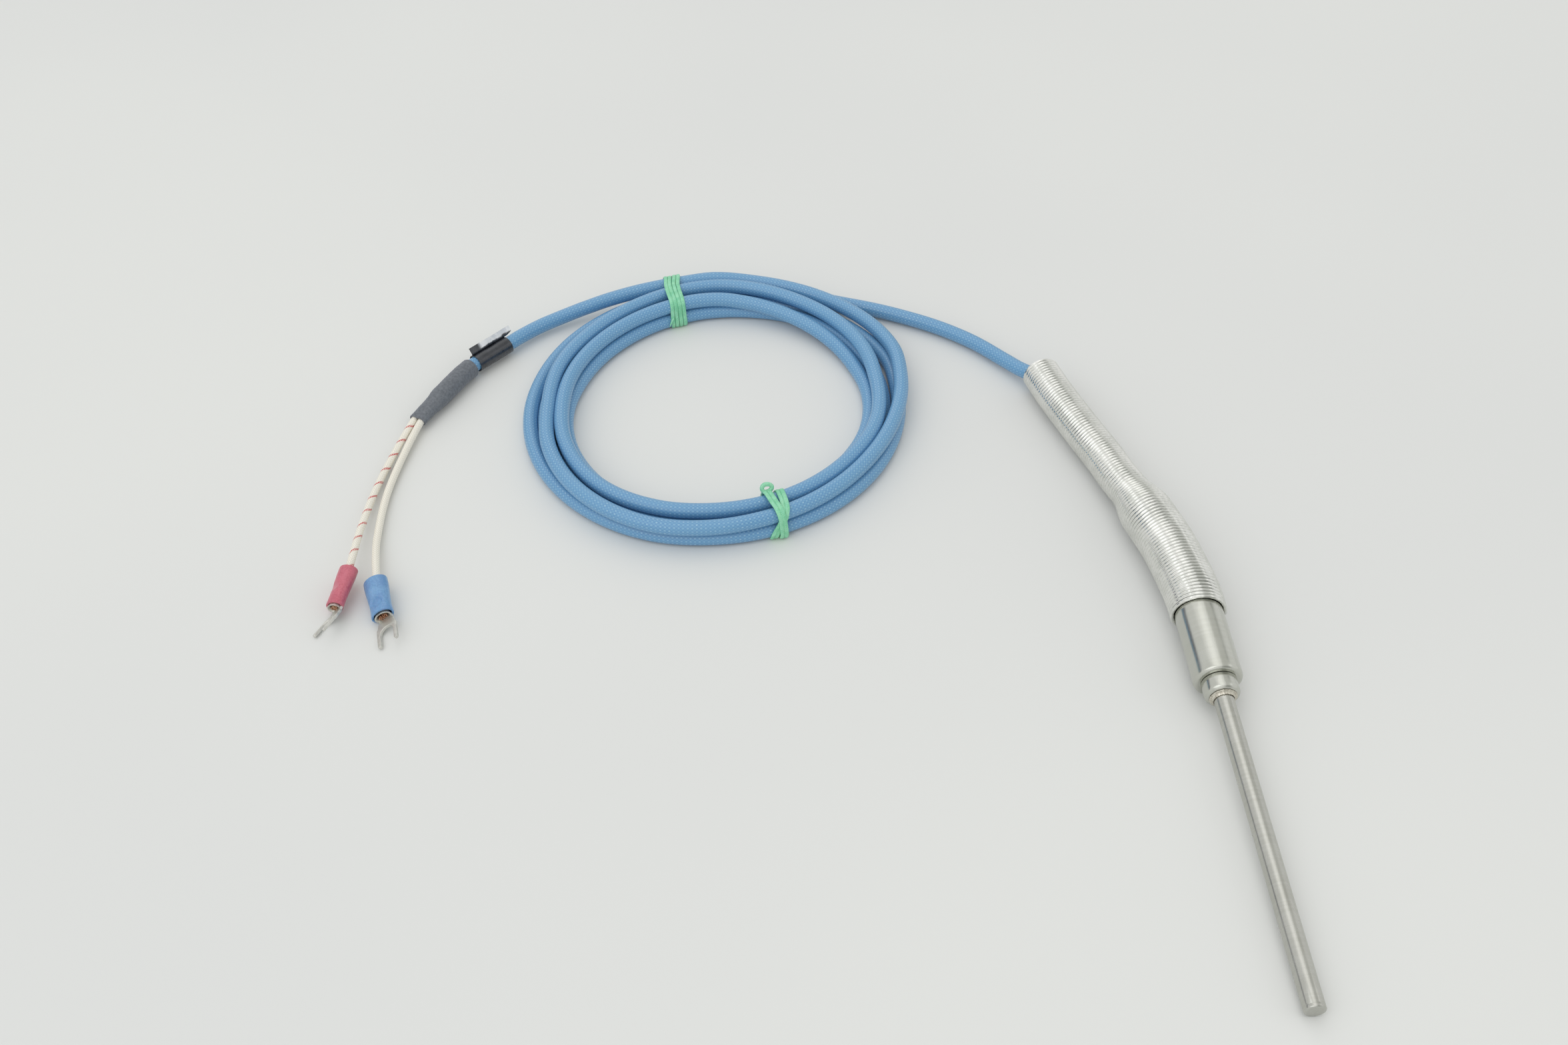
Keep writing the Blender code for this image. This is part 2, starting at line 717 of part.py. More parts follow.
def make_tape():
    """Two turns of tape round the cable, and the loose end that stands off along its upper side."""
    route = [Vector(TAPE_START), Vector(TAPE_END)]
    along = (route[1] - route[0]).normalized()
    outer = [TAPE_RADIUS] * 2
    inner = [TAPE_BORE] * 2
    tape = hollow_tube("tape_wrap", route, outer, inner, "black_tape")
    side = along.cross(Vector((0, 0, 1))).normalized()
    up = side.cross(along)
    lean = up * math.cos(FLAG_LEAN) + side * math.sin(FLAG_LEAN)
    across = lean.cross(along)
    length = (route[1] - route[0]).length
    root = TAPE_RADIUS - 2 * FLAG_THICKNESS / 3
    flag = bpy.data.meshes.new("tape_flag")
    shape = bmesh.new()
    bmesh.ops.create_cube(shape, size=1)
    bmesh.ops.scale(shape, verts=shape.verts, vec=(FLAG_THICKNESS, length - 2 * GAP, FLAG_HEIGHT))
    shape.to_mesh(flag)
    shape.free()
    place = Matrix((across, along, lean)).transposed().to_4x4()
    place.translation = (route[0] + route[1]) / 2 + lean * (root + FLAG_HEIGHT / 2)
    boolean(tape, add_cutter("tape_flag", flag, place=place), "UNION")


def make_heat_shrink():
    outer = []
    inner = []
    centres = [Vector(centre) for centre, _, _ in SHRINK_STATIONS]
    for i, (_, half_width, half_height) in enumerate(SHRINK_STATIONS):
        along = (centres[min(i + 1, len(centres) - 1)] - centres[max(i - 1, 0)]).normalized()
        side = along.cross(Vector((0, 0, 1))).normalized()
        up = side.cross(along)
        bore = (half_width - SHRINK_WALL, half_height - SHRINK_WALL)
        outer.append(oval(centres[i], side, up, half_width, half_height, SHRINK_SIDES))
        inner.append(oval(centres[i], side, up, *bore, SHRINK_SIDES))
    shell("heat_shrink", outer, inner, "grey_shrink")


def make_leads():
    for name, points in LEAD_ROUTES.items():
        route = smooth_route(points, CORD_STEP * 2 * LEAD_RADIUS)
        cord(name, route, LEAD_RADIUS, "glass_fibre")


def terminal_frame(origin, heading, tilt, roll):
    """A frame whose local -Y points to the fork's tip, and whose X is the fork's width."""
    heading, tilt, roll = (math.radians(angle) for angle in (heading, tilt, roll))
    forward = Vector(
        (math.sin(heading) * math.cos(tilt), -math.cos(heading) * math.cos(tilt), -math.sin(tilt))
    )
    level = Vector((math.cos(heading), math.sin(heading), 0))
    upright = level.cross(-forward)
    side = level * math.cos(roll) + upright * math.sin(roll)
    face = upright * math.cos(roll) - level * math.sin(roll)
    frame = Matrix((side, -forward, face)).transposed().to_4x4()
    frame.translation = origin
    return frame


def fork_outline():
    """Half of the fork's outline is mirrored: a neck, a shoulder, and two prongs round a slot."""
    half = FORK_WIDTH / 2
    slot = FORK_SLOT / 2
    tip = (half - slot) / 2
    right = [(FORK_NECK / 2, -TONGUE_START), (FORK_NECK / 2, -BARREL_FRONT - FIT)]
    right += [(half, -FORK_ROOT + FORK_SHOULDER)]
    right += arc((half - tip, -TERMINAL_LENGTH + tip), tip, 0, -180, 4)
    right += arc((0, -FORK_ROOT - slot), slot, 0, 90, 5)
    left = [(-x, y) for x, y in reversed(right[:-1])]
    return right + left


def socket_rings(size, inset):
    """The insulating socket, from its wide wire entry past its crimped waist to its front rim."""
    across = Vector((1, 0, 0))
    up = Vector((0, 0, 1))
    rings = []
    for back, half_width, half_height in SOCKET_STATIONS:
        centre = Vector((0, -back, 0))
        halves = (half_width * size - inset, half_height * size - inset)
        rings.append(oval(centre, across, up, *halves, SOCKET_SIDES))
    return rings


def make_terminal(colour, settings):
    frame = terminal_frame(
        settings["origin"], settings["heading"], settings["tilt"], settings["roll"]
    )
    size = settings["size"]
    shell(
        f"terminal_{colour}_socket",
        socket_rings(size, 0),
        socket_rings(size, SOCKET_WALL),
        f"{colour}_plastic",
        place=frame,
    )
    across = Vector((1, 0, 0))
    up = Vector((0, 0, 1))
    ends = [Vector((0, -BARREL_REAR, 0)), Vector((0, -BARREL_FRONT, 0))]
    half_width, half_height = BARREL_HALF
    bore = (half_width - BARREL_WALL, half_height - BARREL_WALL)
    outer = [oval(end, across, up, half_width, half_height, BARREL_SIDES) for end in ends]
    inner = [oval(end, across, up, *bore, BARREL_SIDES) for end in ends]
    fork = shell(f"terminal_{colour}_fork", outer, inner, "tin", place=frame)
    tongue_curve = add_cutter(
        "tongue_curve", flat_curve("tongue", (fork_outline(),), FORK_THICKNESS)
    )
    fold = Vector((0, -BARREL_FRONT, FORK_THICKNESS / 2 - half_height - FIT))
    bend = Matrix.Rotation(-math.radians(settings["bend"]), 4, "X")
    bent = Matrix.Translation(fold) @ bend @ Matrix.Translation((0, BARREL_FRONT, 0))
    tongue = add_cutter(f"{colour}_tongue", evaluated_mesh(tongue_curve), place=frame @ bent)
    bpy.data.objects.remove(tongue_curve)
    boolean(fork, tongue, "UNION")
    length = BARREL_FRONT + GAP - BARREL_REAR
    mesh = cylinder_mesh("conductor", CONDUCTOR_RADIUS, length, 8)
    lie = Matrix.Translation((0, -BARREL_REAR - length / 2, 0)) @ Matrix.Rotation(
        math.radians(90), 4, "X"
    )
    add_part(f"conductor_end_{colour}", smooth(mesh), "copper", place=frame @ lie)


clear_scene()
parts = new_collection("thermocouple")
cutters = new_collection("cutters")
side_pivot = add_pivot("spring_bend_side", SIDE_PIVOT)
lift_pivot = add_pivot("spring_bend_lift", LIFT_PIVOT, side_pivot)
axis_empty = probe_axis(lift_pivot)
make_sheath(axis_empty)
make_thermo_element(axis_empty)
make_sleeve(axis_empty)
make_splices(axis_empty)
make_strain_relief()
make_coil()
make_cable()
make_tape()
make_heat_shrink()
make_leads()
for terminal_colour, terminal_settings in TERMINALS.items():
    make_terminal(terminal_colour, terminal_settings)
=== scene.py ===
"""Looks of a thermocouple: a sheathed probe, its spring, a coiled cable and two leads.

Metres, +Z up, in the row frame. Routes and sizes repeat those of the CAD source.
"""
import json
import random
from math import copysign, cos, exp, pi, radians, sin, sqrt, tau

import bmesh
import bpy
from mathutils import Matrix, Vector, noise
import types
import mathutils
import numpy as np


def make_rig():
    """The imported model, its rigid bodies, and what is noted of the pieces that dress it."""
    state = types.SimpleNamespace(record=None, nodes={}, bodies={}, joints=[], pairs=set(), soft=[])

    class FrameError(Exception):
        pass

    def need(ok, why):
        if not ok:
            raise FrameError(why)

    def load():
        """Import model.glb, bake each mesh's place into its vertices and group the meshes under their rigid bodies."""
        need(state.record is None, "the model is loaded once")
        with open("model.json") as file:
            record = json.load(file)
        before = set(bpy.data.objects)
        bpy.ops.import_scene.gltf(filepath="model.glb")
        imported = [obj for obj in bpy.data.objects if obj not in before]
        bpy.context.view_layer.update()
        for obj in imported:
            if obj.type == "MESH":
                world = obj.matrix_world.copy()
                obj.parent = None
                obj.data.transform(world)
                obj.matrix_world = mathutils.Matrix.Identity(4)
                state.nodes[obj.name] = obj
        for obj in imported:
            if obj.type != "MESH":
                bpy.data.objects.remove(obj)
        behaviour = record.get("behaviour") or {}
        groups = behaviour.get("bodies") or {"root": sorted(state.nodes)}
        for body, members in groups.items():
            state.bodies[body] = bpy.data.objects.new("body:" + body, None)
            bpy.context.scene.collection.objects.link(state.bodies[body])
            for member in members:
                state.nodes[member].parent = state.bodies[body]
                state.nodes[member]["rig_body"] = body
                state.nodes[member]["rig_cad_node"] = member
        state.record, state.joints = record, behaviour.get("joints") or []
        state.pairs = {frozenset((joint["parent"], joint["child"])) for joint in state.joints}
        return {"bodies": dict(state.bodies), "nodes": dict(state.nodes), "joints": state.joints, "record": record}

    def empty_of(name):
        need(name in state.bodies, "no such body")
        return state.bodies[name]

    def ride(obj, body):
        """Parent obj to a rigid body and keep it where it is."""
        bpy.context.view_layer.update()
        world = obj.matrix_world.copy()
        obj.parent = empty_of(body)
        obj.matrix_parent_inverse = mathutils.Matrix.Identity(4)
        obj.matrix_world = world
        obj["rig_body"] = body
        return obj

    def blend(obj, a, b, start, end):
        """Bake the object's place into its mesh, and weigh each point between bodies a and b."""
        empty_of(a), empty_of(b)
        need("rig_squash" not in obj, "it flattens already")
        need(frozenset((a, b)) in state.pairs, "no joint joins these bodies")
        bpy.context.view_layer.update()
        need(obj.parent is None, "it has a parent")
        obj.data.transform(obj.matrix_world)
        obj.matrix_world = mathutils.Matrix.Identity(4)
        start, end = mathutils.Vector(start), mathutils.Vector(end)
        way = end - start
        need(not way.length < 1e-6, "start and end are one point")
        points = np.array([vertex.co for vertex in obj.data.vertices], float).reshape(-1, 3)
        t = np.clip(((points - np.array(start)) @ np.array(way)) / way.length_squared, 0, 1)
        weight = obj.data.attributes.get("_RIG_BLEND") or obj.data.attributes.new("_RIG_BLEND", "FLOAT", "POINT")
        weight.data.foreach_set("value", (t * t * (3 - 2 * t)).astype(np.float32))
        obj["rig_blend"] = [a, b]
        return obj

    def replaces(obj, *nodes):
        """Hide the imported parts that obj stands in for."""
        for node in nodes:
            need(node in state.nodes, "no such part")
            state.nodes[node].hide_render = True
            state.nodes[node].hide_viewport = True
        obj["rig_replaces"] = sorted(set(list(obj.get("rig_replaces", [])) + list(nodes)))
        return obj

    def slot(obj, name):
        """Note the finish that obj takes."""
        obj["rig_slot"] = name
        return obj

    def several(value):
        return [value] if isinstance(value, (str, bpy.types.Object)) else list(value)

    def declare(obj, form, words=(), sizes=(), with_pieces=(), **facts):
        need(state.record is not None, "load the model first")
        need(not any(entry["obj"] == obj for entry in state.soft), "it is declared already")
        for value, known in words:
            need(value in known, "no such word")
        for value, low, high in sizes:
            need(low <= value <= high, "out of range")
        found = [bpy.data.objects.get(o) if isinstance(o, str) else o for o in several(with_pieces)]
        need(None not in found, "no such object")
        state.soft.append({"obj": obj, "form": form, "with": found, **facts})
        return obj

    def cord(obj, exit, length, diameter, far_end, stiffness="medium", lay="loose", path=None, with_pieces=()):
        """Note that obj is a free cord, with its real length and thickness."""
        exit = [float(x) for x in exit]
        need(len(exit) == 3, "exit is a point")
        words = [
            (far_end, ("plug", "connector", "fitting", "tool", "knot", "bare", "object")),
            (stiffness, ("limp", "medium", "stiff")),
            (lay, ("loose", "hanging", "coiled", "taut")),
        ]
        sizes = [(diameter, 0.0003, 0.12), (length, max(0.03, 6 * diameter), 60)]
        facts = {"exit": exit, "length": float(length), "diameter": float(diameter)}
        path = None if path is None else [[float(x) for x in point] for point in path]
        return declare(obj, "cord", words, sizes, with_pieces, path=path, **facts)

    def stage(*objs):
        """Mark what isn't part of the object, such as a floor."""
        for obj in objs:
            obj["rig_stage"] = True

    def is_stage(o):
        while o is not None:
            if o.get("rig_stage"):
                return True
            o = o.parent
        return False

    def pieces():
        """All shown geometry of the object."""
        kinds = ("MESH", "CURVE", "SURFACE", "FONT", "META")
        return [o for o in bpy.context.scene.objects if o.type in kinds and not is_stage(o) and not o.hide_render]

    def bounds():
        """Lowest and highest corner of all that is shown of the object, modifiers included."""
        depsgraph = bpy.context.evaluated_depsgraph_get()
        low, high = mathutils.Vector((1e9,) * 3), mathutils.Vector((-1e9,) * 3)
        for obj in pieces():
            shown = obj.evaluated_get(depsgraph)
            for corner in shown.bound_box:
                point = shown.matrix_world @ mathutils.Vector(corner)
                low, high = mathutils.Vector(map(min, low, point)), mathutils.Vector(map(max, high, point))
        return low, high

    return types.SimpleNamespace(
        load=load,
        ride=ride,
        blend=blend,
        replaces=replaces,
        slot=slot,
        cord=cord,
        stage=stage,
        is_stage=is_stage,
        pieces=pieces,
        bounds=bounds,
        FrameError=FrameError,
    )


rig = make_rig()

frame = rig.load()
cad_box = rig.bounds()

random.seed(7)
MM = 0.001
UP = Vector((0, 0, 1))


def metres(*points):
    """Points given in millimetres."""
    return tuple(tuple(round(value * MM, 6) for value in point) for point in points)


# Camera, as in the photograph.
CAMERA_PLACE = (-0.1107, -0.2652, 0.315)
CAMERA_TURN = (45.0, 0.0, -3.05)
CAMERA_LENS = 36.73

# Probe.
SHOULDER = Vector((0.0104, -0.0187, 0.00645))
TIP_TILT = radians(2.6)
PROBE_FIT = 0.0001
SHEATH_RADIUS = 0.0025
SHEATH_BORE = 0.00195
SHEATH_REACH = 0.0867
SHEATH_REAR = -0.0055
TIP_EDGE = 0.00035
TIP_CAP = 0.0010
TIP_WALL = 0.0015
COLLAR_RADIUS = 0.0045
COLLAR_LENGTH = 0.0047
COLLAR_HEEL = 0.000175
COLLAR_SHOULDER = 0.0012
WELD_SIZE = 0.0009
SLEEVE_RADIUS = 0.0062
SLEEVE_SPIGOT = 0.0059
SLEEVE_BORE = 0.0053
SLEEVE_FRONT_WALL = 0.0025
SLEEVE_SHOULDER = 0.0010
SLEEVE_SHOWN = 0.0212
SLEEVE_UNDER = 0.0016  # how far its full size runs on under the spring
SLEEVE_LENGTH = 0.0305
CABLE_START = -0.0195

# Spring.
SPRING_WIRE = 0.00101
SPRING_PITCH = 0.00106
SPRING_FRONT_RADIUS = 0.0074
SPRING_REAR_RADIUS = 0.00565
SPRING_MOUTH = 0.009  # how far its front end is drawn in on the sleeve, and by how much
SPRING_GRIP = 0.00015
NARROWING = (0.0505, 0.0400)
SPRING_SPLIT_Y = 0.0510
SPRING_ROUTE = metres(
    (10.4, 2.5, 7.45), (10.4, 9.0, 7.6), (9.4, 18.5, 7.6), (7.9, 28.1, 7.6), (5.7, 37.2, 7.45),
    (3.2, 47.2, 6.9), (0.6, 55.9, 6.2), (-1.8, 65.0, 5.8), (-5.1, 74.9, 5.7), (-8.4, 85.1, 5.7),
    (-11.2, 94.2, 5.7), (-13.7, 103.7, 5.7),
)

# Blue cable.
CABLE_RADIUS = 0.00222
CABLE_DIAMETER = 0.0045
CABLE_IN_SPRING_ROUTE = metres(
    (10.4, 3.0, 7.4), (10.4, 12.5, 7.8), (9.4, 20.0, 7.4), (7.7, 29.0, 6.8), (5.5, 38.0, 6.0),
    (3.0, 48.0, 5.4), (-1.8, 65.0, 5.0), (-8.4, 85.1, 4.6), (-12.2, 95.7, 4.4),
)
CABLE_HEAD_ROUTE = metres(
    (-12.4, 96.2, 4.4), (-15.1, 103.8, 4.2), (-18.3, 107.4, 3.6), (-22.8, 113.4, 2.9),
    (-31.0, 123.0, 2.5), (-40.5, 130.7, 2.4), (-50.4, 136.5, 2.4), (-60.5, 141.3, 2.4),
)
CABLE_EXIT = CABLE_HEAD_ROUTE[1]
CABLE_TAIL_ROUTE = metres(
    (-153.6, 143.8, 4.2), (-159.9, 140.9, 3.5), (-166.0, 137.3, 3.2), (-171.8, 132.3, 3.3),
    (-175.4, 128.7, 3.3), (-180.0, 124.1, 3.4), (-184.6, 119.5, 3.4), (-186.8, 117.1, 3.4),
    (-191.1, 109.5, 3.4), (-193.4, 105.5, 3.3),
)

# Coil: the radius of each turn in millimetres at these angles, counter-clockwise from +X.
# Three turns lie on the floor, from the outermost in, and two lie on them, from the innermost out.
COIL_CENTRE = Vector((-0.1111, 0.0986, 0.0))
TURN_ANGLES = (90, 120, 140, 163, 184, 205, 229, 250, 265, 285, 317, 340, 365, 380, 415, 435)
TURN_RADII = (
    (54, 54.4, 54.4, 54.6, 55.6, 56.6, 57.3, 57.2, 56.3, 55.4, 54.2, 53.8, 54.2, 55.3, 52.4, 50.5),
    (49.5, 49.5, 49.5, 49.9, 51.2, 52, 52.9, 52.9, 52, 51.2, 49.9, 49.6, 49.4, 49.2, 47.8, 45.9),
    (44.8, 42.8, 42.3, 43, 45, 46.8, 48.4, 48.6, 47.7, 46.9, 45.6, 45.6, 45.2, 44.7, 44.4, 44.7),
    (45.1, 44, 43.9, 44.6, 45.8, 48.5, 51, 50.9, 50, 49, 48, 48.4, 47.8, 48.6, 50.6, 51.8),
    (52.4, 49.6, 48.8, 49.4, 50, 53.5, 56.8, 58, 57, 55, 52.6, 53, 55.3, 57.3, 57.2, 56.9),
)
COIL_START = ((52, 60.8), (60, 59.5), (75, 56.5))
COIL_END = ((90, 56.6), (100, 56.0), (110, 56.5), (120, 58.0), (130, 60.5))
COIL_END_HEIGHTS = (6.2, 6.1, 5.9, 5.5, 4.8)
RISING_TURN = 2
RISING_HEIGHTS = {380: 2.3, 415: 4.7, 435: 6.0}
FIRST_TOP_TURN = 3
COIL_STEP = 3.0  # degrees

# Ties: shares of the way round, from the inner top edge over the top to the outer side and back.
# Each strand has its clearance, and its millimetres along the turns at these shares.
TIE_ANGLES = {"tie_front": 286.0, "tie_back": 105.0}
BAND_WIDTH = 0.00125
BAND_THICKNESS = 0.00074
TIE_BANDS = {
    "tie_front": (
        (0.0, 0.18, 0.32, 0.45, 0.75, 1.0),
        (0.00034, (2.6, 1.9, 0.1, -2.3, 0.4, 2.6)),
        (0.00036, (3.8, 3.1, 1.3, -1.1, 1.6, 3.8)),
        (0.00092, (-1.2, -0.6, 0.1, 0.3, -0.4, -1.2)),
        (0.00094, (0.0, 0.6, 1.2, 1.5, 0.8, 0.0)),
    ),
    "tie_back": (
        (0.0, 0.2, 0.34, 0.6, 0.88, 1.0),
        (0.00034, (-1.3, -2.1, -3.7, -2.4, -1.4, -1.3)),
        (0.00038, (-0.1, -0.8, -2.4, -1.1, -0.1, -0.1)),
        (0.00034, (1.1, 0.5, -0.9, 0.2, 1.2, 1.1)),
        (0.00038, (2.3, 1.7, 0.4, 1.5, 2.5, 2.3)),
    ),
}
EAR_WIDTH = 0.0013
EAR_HALVES = (0.00145, 0.00105)
EAR_LEAN = radians(-30)
EAR_SHIFT = -0.0002

# Tape.
TAPE_START = Vector(CABLE_TAIL_ROUTE[4])
TAPE_END = Vector(CABLE_TAIL_ROUTE[6])
TAPE_FILM = 0.00014
TAPE_TURNS = 2.4
TAPE_FLAG_HEIGHT = 0.0027
TAPE_FLAG_OVERRUN = 0.0028
TAPE_FLAG_LEAN = radians(62)  # from the cable's upper left side to its top
TAPE_FLAG_BEND = radians(100)

# Heat shrink: places, half width and half height.
SHRINK_WALL = 0.00045
SHRINK_STATIONS = metres(
    (-186.0, 117.7, 3.4, 3.0, 3.0), (-188.5, 114.0, 3.4, 3.0, 3.0), (-191.1, 109.5, 3.4, 3.0, 3.0),
    (-193.8, 104.8, 3.3, 3.0, 2.9), (-195.5, 102.0, 3.0, 2.8, 2.4), (-197.8, 98.4, 2.8, 2.7, 2.0),
    (-199.7, 95.1, 2.6, 2.7, 1.8),
)

# Leads.
LEAD_RADIUS = 0.00105
LEAD_ROUTES = {
    "positive": metres(
        (-197.5, 100.9, 2.9), (-200.6, 95.7, 2.6), (-205.5, 80.1, 1.8), (-208.6, 66.3, 1.8),
        (-210.2, 49.9, 3.4), (-210.4, 37.4, 5.3), (-211.2, 30.2, 4.7),
    ),
    "negative": metres(
        (-195.6, 99.6, 2.9), (-198.7, 94.4, 2.6), (-202.8, 79.1, 1.7), (-205.3, 64.2, 1.5),
        (-205.7, 48.3, 2.0), (-204.8, 38.0, 2.9), (-203.0, 26.8, 3.4),
    ),
}

# Terminals: local -Y runs to the fork, X is its width and Z its upper face.
# A dent is its place across and back, its two radii and its depth.
TERMINALS = {
    "red": dict(
        origin=(-0.2108, 0.0327, 0.0050), heading=-12.5, tilt=9.5, roll=48, bend=18, size=1.0,
        dent=(0.0002, 0.0062, 0.0016, 0.0013, 0.00035),
    ),
    "blue": dict(
        origin=(-0.2036, 0.0292, 0.0036), heading=15.7, tilt=4.5, roll=32, bend=9, size=1.14,
        dent=(0.0002, 0.0082, 0.0017, 0.0014, 0.00100),
    ),
}
TERMINAL_LENGTH = 0.0212
SOCKET_WALL = 0.0006
SOCKET_LIP = 0.00022
SOCKET_STATIONS = metres(
    (0.0, 3.0, 2.4), (2.5, 3.0, 2.4), (7.0, 2.7, 2.2), (9.2, 2.65, 2.15), (11.8, 2.85, 2.2)
)
BARREL_REAR = 0.0045
BARREL_FRONT = 0.0124
BARREL_HALF = (0.0019, 0.0014)
BARREL_WALL = 0.0006
BARREL_FLARE = ((0.0, 0.0), (0.80, 0.0), (0.90, 0.00014), (0.97, 0.00030), (1.0, 0.00034))
TONGUE_START = 0.0118
FORK_WIDTH = 0.0064
FORK_SLOT = 0.0043
FORK_ROOT = 0.0153
FORK_NECK = 0.0043
FORK_THICKNESS = 0.0008
FORK_EDGE = 0.00012
FORK_FOLD = 0.0014

# Hidden nodes keep their CAD shape. The finish goes by how a name starts.
INNER_FINISHES = {
    "thermo_wire": "thermo_alloy",
    "hot_junction": "thermo_alloy",
    "ceramic_bead": "ceramic",
    "cement_seal": "cement",
    "splice_crimp": "splice_metal",
    "splice_cover": "glass_sleeving",
    "extension_core": "extension_alloy",
    "cable_bush": "bush_rubber",
}


def linked(name, data):
    """A new object in the scene."""
    obj = bpy.data.objects.new(name, data)
    bpy.context.scene.collection.objects.link(obj)
    return obj


def make_camera():
    data = bpy.data.cameras.new("camera")
    data.lens = CAMERA_LENS
    data.sensor_width = 36.0
    data.clip_start = 0.01
    camera = linked("camera", data)
    camera.location = CAMERA_PLACE
    camera.rotation_euler = [radians(angle) for angle in CAMERA_TURN]
    bpy.context.scene.camera = camera


# Materials.


class Graph:
    """Short ways to add and join the nodes of one tree."""

    def __init__(self, tree):
        self.nodes = tree.nodes
        self.links = tree.links

    def feed(self, socket, value):
        if isinstance(value, bpy.types.NodeSocket):
            self.links.new(value, socket)
        else:
            socket.default_value = value

    def add(self, kind, inputs, output=0, **settings):
        """The output of a new node with these inputs and settings."""
        node = self.nodes.new(kind)
        for key, value in settings.items():
            setattr(node, key, value)
        for key, value in inputs.items():
            self.feed(node.inputs[key], value)
        return node.outputs[output]

    def math(self, operation, a, b=0.0):
        return self.add("ShaderNodeMath", {0: a, 1: b}, operation=operation)

    def plus(self, a, b):
        return self.math("ADD", a, b)

    def times(self, a, b):
        return self.math("MULTIPLY", a, b)

    def place(self, kind):
        return self.add("ShaderNodeTexCoord", {}, kind)

    def parts(self, kind):
        node = self.nodes.new("ShaderNodeSeparateXYZ")
        self.links.new(self.place(kind), node.inputs[0])
        return tuple(node.outputs)

    def scaled(self, vector, scale):
        return self.add("ShaderNodeVectorMath", {0: vector, 1: scale}, operation="MULTIPLY")

    def noise(self, vector, scale, detail=3.0):
        inputs = {"Vector": vector, "Scale": scale, "Detail": detail}
        return self.add("ShaderNodeTexNoise", inputs, "Fac")

    def spread(self, value, low, high, out_low=0.0, out_high=1.0):
        ends = {"From Min": low, "From Max": high, "To Min": out_low, "To Max": out_high}
        inputs = {"Value": value, **ends}
        return self.add("ShaderNodeMapRange", inputs, "Result", interpolation_type="SMOOTHSTEP")

    def mix(self, factor, first, second):
        return self.add("ShaderNodeMix", {0: factor, 6: first, 7: second}, 2, data_type="RGBA")


class Finish(Graph):
    """A material, with the constants of its shader."""

    def __init__(self, name, **constants):
        self.material = bpy.data.materials.new(name)
        self.material.use_nodes = True
        super().__init__(self.material.node_tree)
        self.shader = self.nodes["Principled BSDF"].inputs
        for socket, value in constants.items():
            self.shader[socket.replace("_", " ")].default_value = value

    def done(self, colour, rough, height=None, distance=0.0, strength=0.5):
        """The material, with what drives its colour, roughness and bump."""
        self.feed(self.shader["Base Color"], colour)
        self.feed(self.shader["Roughness"], rough)
        if height is not None:
            inputs = {"Height": height, "Distance": distance, "Strength": strength}
            self.feed(self.shader["Normal"], self.add("ShaderNodeBump", inputs, "Normal"))
        return self.material


def srgb(red, green, blue):
    """A colour given as it is seen, from 0 to 255, as the linear one that a shader takes."""
    linear = []
    for value in (red, green, blue):
        share = value / 255
        linear.append(share / 12.92 if share <= 0.04045 else ((share + 0.055) / 1.055) ** 2.4)
    return (*linear, 1.0)


# Finishes of two tones: light, dark, scale, roughness, bump in millimetres and shader constants.
METAL = {"Metallic": 1.0}
SOFT = {"Subsurface_Weight": 0.2, "Subsurface_Scale": 0.0008, "Coat_Weight": 0.15}
PLAIN = ((0.4, 0.6), 0.03)
SPECKLED = {
    "thermo_alloy": ((150, 140, 128), (112, 102, 92), 900, *PLAIN, METAL),
    "ceramic": ((238, 232, 216), (214, 206, 188), 500, *PLAIN, {}),
    "cement": ((214, 208, 194), (168, 160, 146), 700, *PLAIN, {}),
    "splice_metal": ((196, 194, 188), (150, 148, 142), 800, *PLAIN, METAL),
    "glass_sleeving": ((228, 224, 208), (190, 184, 164), 1200, *PLAIN, {}),
    "extension_alloy": ((176, 166, 150), (134, 122, 106), 900, *PLAIN, METAL),
    "bush_rubber": ((52, 52, 54), (30, 30, 32), 800, *PLAIN, {}),
    "weld_bead": ((222, 218, 206), (186, 180, 166), 1500, (0.2, 0.4), 0.04, METAL),
    "tinned_terminal": ((224, 223, 217), (208, 207, 201), 620, (0.46, 0.60), 0.02, METAL),
    "bare_copper": ((214, 176, 150), (172, 124, 98), 900, (0.25, 0.4), 0.02, METAL),
    "green_tie": (
        (156, 223, 187), (122, 204, 161), 420, (0.34, 0.5), 0.05,
        {"Subsurface_Weight": 0.15, "Subsurface_Scale": 0.0006},
    ),
    "grey_shrink": (
        (116, 121, 128), (92, 97, 104), 1300, (0.45, 0.62), 0.04,
        {"Sheen_Weight": 0.22, "Sheen_Roughness": 0.4, "Sheen_Tint": srgb(204, 202, 226)},
    ),
    "red_insulator": ((204, 112, 128), (190, 92, 110), 240, (0.28, 0.4), 0.02, SOFT),
    "blue_insulator": ((124, 168, 210), (104, 148, 196), 240, (0.28, 0.4), 0.02, SOFT),
}

# Turned steel: light, dark, roughness, lines along it and bump in millimetres.
POLISHED = {
    "sheath_steel": ((194, 194, 188), (187, 187, 180), (0.22, 0.28), 1100.0, 0.0002),
    "sleeve_steel": ((201, 202, 195), (196, 197, 189), (0.17, 0.24), 900.0, 0.0003),
    "spring_steel": ((233, 233, 229), (217, 218, 213), (0.10, 0.16), 700.0, 0.0006),
}


def speckled(name, light, dark, scale, rough, bump, constants):
    """Two tones mixed by a coarse and a fine noise, which drives roughness and bump too."""
    graph = Finish(name, **constants)
    place = graph.place("Object")
    coarse = graph.noise(place, scale)
    fine = graph.noise(place, scale * 9, 4.0)
    total = graph.plus(graph.times(coarse, 0.5), graph.times(fine, 0.5))
    colour = graph.mix(graph.spread(total, 0.38, 0.62), srgb(*dark), srgb(*light))
    return graph.done(colour, graph.spread(fine, 0.3, 0.7, *rough), fine, bump * MM, 0.6)


